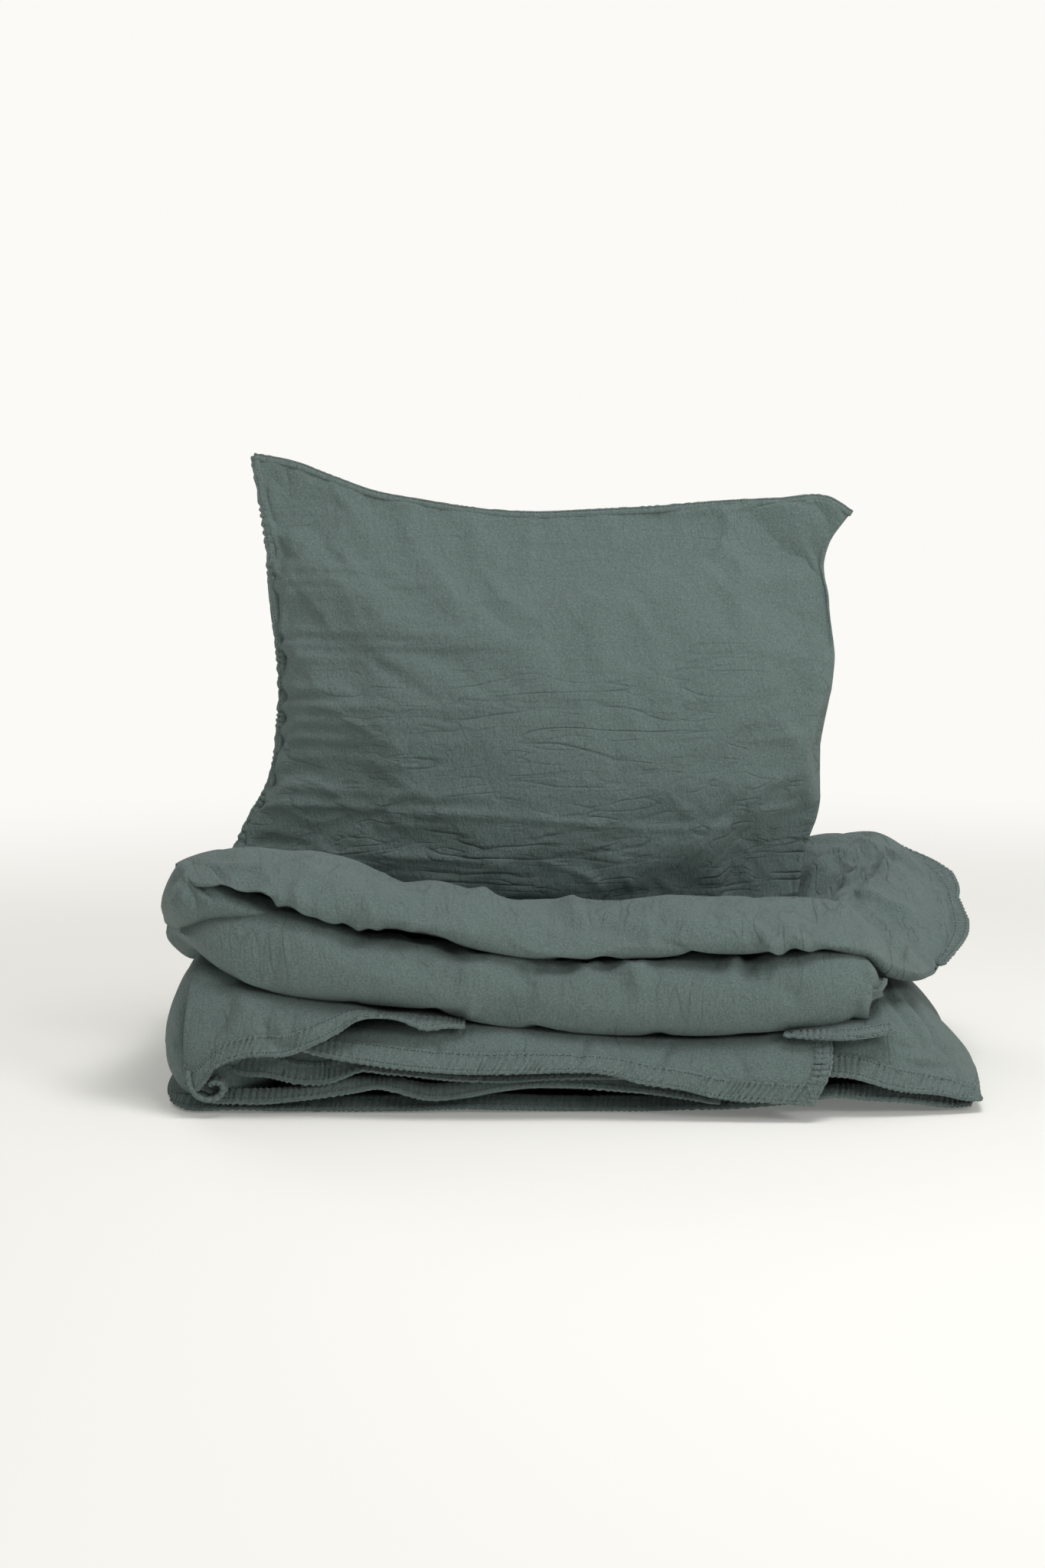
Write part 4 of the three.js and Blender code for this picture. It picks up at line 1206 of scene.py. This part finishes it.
clear_of_underside = upper_end[8:]
upper_seam, upper_seam_stitches = flange(
    "upper_side_seam", clear_of_underside, (0.27, 0.0, 0.13),
    width=(0.004, 0.011, 0.015, 0.008, 0.018, 0.010, 0.007, 0.006), rows=(0.3, 0.85), seed=23
)
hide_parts("cover_upper_side_seam")
on_body("upper_fold", upper_seam, upper_seam_stitches)

loose = spread([
    [(0.19, -0.215, 0.078), (0.23, -0.215, 0.084), (0.262, -0.21, 0.090), (0.275, -0.200, 0.098)],
    [(0.185, -0.245, 0.075), (0.225, -0.248, 0.078), (0.262, -0.242, 0.083), (0.282, -0.228, 0.086)],
    [(0.184, -0.250, 0.0755), (0.215, -0.255, 0.0735), (0.250, -0.256, 0.0735), (0.287, -0.242, 0.0765)],
], 80, 24)
corner_flap = slab("lower_corner_flap", loose, ply)
finish(corner_flap, cover_cloth)
flap_edge, flap_edge_stitches = hem("lower_corner_flap_edge", loose, width=0.012, seed=25)
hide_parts("cover_corner_flap")
on_body("duvet", corner_flap, flap_edge, flap_edge_stitches)


# ---- The pillow ----------------------------------------------------------------------------------
# A filled pillow in its case, standing in the trough of the upper layer and leaning back a little.
# The case is sewn at the left, top and bottom; the left seam has drawn up and gathers the cloth.

pillow_foot = 0.022
pillow_floor = 0.120
pillow_lean = math.tan(math.radians(5))
front_swell, back_swell = 0.070, 0.058
gather_pitch, gather_depth, gather_reach = 0.019, 0.0045, 0.09
scallop_depth, scallop_reach = 0.0034, 0.04


def leaning(z):
    """The depth of the case's sewn edge at a height."""
    return pillow_foot + (z - pillow_floor) * pillow_lean


def outline(*points):
    """A smooth line through (x, z) points."""
    return path([(x, 0.0, z) for x, z in points])


case_left = outline(
    (-0.338, 0.150), (-0.326, 0.195), (-0.309, 0.233), (-0.293, 0.262), (-0.284, 0.290),
    (-0.281, 0.322), (-0.279, 0.352), (-0.280, 0.386), (-0.284, 0.420), (-0.289, 0.455),
    (-0.291, 0.490), (-0.297, 0.530), (-0.307, 0.583),
)
case_right = outline(
    (0.220, 0.135), (0.229, 0.200), (0.239, 0.245), (0.244, 0.300), (0.250, 0.350), (0.253, 0.400),
    (0.251, 0.445), (0.247, 0.480), (0.253, 0.500), (0.264, 0.516), (0.273, 0.527),
)
case_top = outline(
    (-0.307, 0.583), (-0.270, 0.576), (-0.232, 0.562), (-0.190, 0.547), (-0.152, 0.540),
    (-0.095, 0.531), (-0.034, 0.527), (0.020, 0.529), (0.077, 0.532), (0.140, 0.537), (0.200, 0.540),
    (0.250, 0.541), (0.273, 0.527),
)
case_bottom = outline((-0.338, 0.150), (-0.2, 0.126), (0.0, 0.120), (0.220, 0.135))


def case_plane(u, v):
    """The pillow's outline filled in, with u across and v up, both 0 to 1."""
    u1, v1 = u[..., None], v[..., None]
    edges = (1 - v1) * case_bottom(u) + v1 * case_top(u) + (1 - u1) * case_left(v) + u1 * case_right(v)
    corners = (
        (1 - u1) * (1 - v1) * case_bottom(0.0)
        + u1 * (1 - v1) * case_bottom(1.0)
        + (1 - u1) * v1 * case_top(0.0)
        + u1 * v1 * case_top(1.0)
    )
    return edges - corners


across, up = 120, 100
u, v = np.meshgrid(np.linspace(0, 1, across), np.linspace(0, 1, up), indexing="ij")
flat = case_plane(u, v)
swell = np.sin(np.pi * u) ** 0.55 * np.sin(np.pi * v**0.8) ** 0.6
puckers = np.stack([flat[..., 2] / 0.030, flat[..., 0] * 0 + 3.5, flat[..., 0] * 0], axis=-1)
beat = 2 * np.pi * (flat[..., 2] / gather_pitch + 1.2 * lattice_noise(puckers, 3))
drawn = np.exp(-u / gather_reach) * smooth((0.95 - v) / 0.3)
scallop = scallop_depth * np.sin(beat * 0.7 + 1) * np.exp(-u / scallop_reach)
flat[..., 0] += scallop * smooth((0.95 - v) / 0.2)
swell = swell * (1 - 0.5 * smooth((v - 0.6) / 0.4) * smooth((np.abs(u - 0.5) - 0.3) / 0.2))
halves = []
for half, order in ((-front_swell, 1), (back_swell, -1)):
    side = flat.copy()
    side[..., 1] = leaning(flat[..., 2]) + half * swell
    side[..., 1] += np.sign(half) * gather_depth * np.sin(beat) * drawn * smooth(u / 0.03)
    halves.append(side[::order])
pillow = mesh_of("pillowcase", np.concatenate(halves))


def seam_grip(co):
    """Holds the case fast along its sewn edges, and lightly over its filling."""
    on_seam = np.abs(co[:, 1] - leaning(co[:, 2])) < 1e-3
    return np.where(on_seam, 1.0, 0.06)


settle(pillow, slack=0.035, pressure=2.0, reach=0.016, held=seam_grip)
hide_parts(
    "pillowcase_front", "pillowcase_back", "pillow_ticking_front", "pillow_ticking_back",
    "pillow_filling", "pillowcase_top_seam", "pillowcase_bottom_seam", "pillowcase_left_seam",
    "pillowcase_right_hem",
)
subdivide(pillow)
press(
    pillow, -0.03,
    # the upper left corner and the furrow inside the left seam
    (0.00075, 0.0045, [(-0.287, 0.578), (-0.275, 0.567), (-0.270, 0.552)]),
    (0.0025, 0.00825, [(-0.269, 0.525), (-0.266, 0.503), (-0.260, 0.487)]),
    (0.00125, 0.006, [(-0.261, 0.553), (-0.252, 0.543), (-0.266, 0.522)]),
    (0.0015, 0.00525, [(-0.243, 0.487), (-0.230, 0.482), (-0.203, 0.484), (-0.181, 0.482)]),
    # tucks that run in from the gathered left seam
    (0.0025, 0.0045, [
        (-0.267, 0.340), (-0.250, 0.348), (-0.230, 0.346), (-0.209, 0.334), (-0.190, 0.322),
        (-0.164, 0.307),
    ]),
    (0.00125, 0.0045, [(-0.258, 0.339), (-0.236, 0.337), (-0.212, 0.332)]),
    (0.001, 0.0045, [(-0.274, 0.302), (-0.231, 0.302), (-0.196, 0.295), (-0.121, 0.287)]),
    (0.0025, 0.00525, [(-0.277, 0.275), (-0.250, 0.275), (-0.224, 0.264), (-0.207, 0.252)]),
    (0.0025, 0.00525, [(-0.296, 0.250), (-0.272, 0.248), (-0.248, 0.238), (-0.207, 0.246)]),
    (0.00225, 0.00525, [(-0.294, 0.227), (-0.277, 0.226), (-0.245, 0.215), (-0.232, 0.207)]),
    # long creases where the filled part rests on the seat
    (0.002, 0.0045, [(-0.210, 0.246), (-0.137, 0.245), (-0.056, 0.242), (0.009, 0.237)]),
    (0.00125, 0.0045, [(-0.197, 0.241), (-0.164, 0.235), (-0.110, 0.233)]),
    (0.00175, 0.0045, [(-0.188, 0.203), (-0.110, 0.200), (-0.056, 0.194)]),
    (0.002, 0.0045, [(-0.034, 0.239), (0.020, 0.235), (0.074, 0.231), (0.128, 0.232), (0.192, 0.236)]),
    (0.002, 0.00525, [(0.089, 0.269), (0.106, 0.250), (0.128, 0.235)]),
    (0.00125, 0.0045, [(0.062, 0.277), (0.079, 0.269), (0.087, 0.255)]),
    # dents and creases along the right side
    (0.002, 0.009, [(-0.040, 0.520), (-0.034, 0.503)]),
    (0.0025, 0.0105, [(0.234, 0.518), (0.228, 0.497), (0.217, 0.476), (0.211, 0.460)]),
    (0.00125, 0.00525, [(0.198, 0.451), (0.214, 0.446), (0.238, 0.438)]),
    (0.0025, 0.00825, [(0.185, 0.396), (0.188, 0.382), (0.193, 0.378)]),
    (0.0025, 0.0075, [(0.180, 0.367), (0.199, 0.369), (0.207, 0.377)]),
    (0.002, 0.006, [(0.218, 0.380), (0.228, 0.381), (0.239, 0.396)]),
    (0.00175, 0.006, [(0.154, 0.310), (0.175, 0.316), (0.207, 0.319), (0.232, 0.324)]),
    (0.0015, 0.00525, [(0.160, 0.243), (0.197, 0.250), (0.227, 0.257)]),
    (0.001, 0.0045, [(0.181, 0.274), (0.221, 0.282)]),
    # slanting creases above the right end of the upper roll
    (0.002, 0.00525, [(0.152, 0.220), (0.171, 0.209), (0.187, 0.190), (0.195, 0.182)]),
    (0.0025, 0.00675, [(0.163, 0.206), (0.171, 0.185), (0.182, 0.168)]),
    (0.0025, 0.00525, [(0.079, 0.190), (0.087, 0.179), (0.106, 0.168)]),
    (0.002, 0.00525, [(0.044, 0.190), (0.055, 0.179), (0.060, 0.168)]),
    (0.003, 0.00525, [(0.001, 0.192), (0.017, 0.184), (0.033, 0.168)]),
    (0.00175, 0.0045, [(-0.034, 0.201), (-0.007, 0.193), (0.015, 0.185)]),
)
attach(pillow, "pillow")
case_cloth = washed_cotton(
    "case_cloth", sea_green_dye, mottle=1.1, crinkle=1.25, fuzz=0.10,
    stretch=(0.22, 1.0, 1.4),
)
# The case is pressed smooth in the middle and crumpled low down, where it sits in the duvet; its
# fine creases and the painted shade in them are strongest low down.
crumpled_along(case_cloth, "Z", 0.22, 0.42, 2.0, 0.45)
finish(pillow, case_cloth)

# The case's seams stand out as a thin folded edge, drawn into small scallops at the left.
seam_line = np.linspace(0, 1, 400)
seam_centre = np.array([-0.03, 0.04, 0.34])
for name, line, width, pucker, seed in (
    ("pillowcase_left_seam_edge", case_left, 0.0045, 0.0012, 31),
    ("pillowcase_top_seam_edge", case_top, 0.0018, 0.0002, 33),
    ("pillowcase_bottom_seam_edge", case_bottom, 0.0040, 0.0006, 37),
):
    along = line(seam_line)
    along[:, 1] = leaning(along[:, 2])
    edge, edge_stitches = flange(
        name, along, seam_centre, (width, width), rows=(0.7,), seed=seed, pucker=pucker, pitch=0.013
    )
    on_body("pillow", edge, edge_stitches)
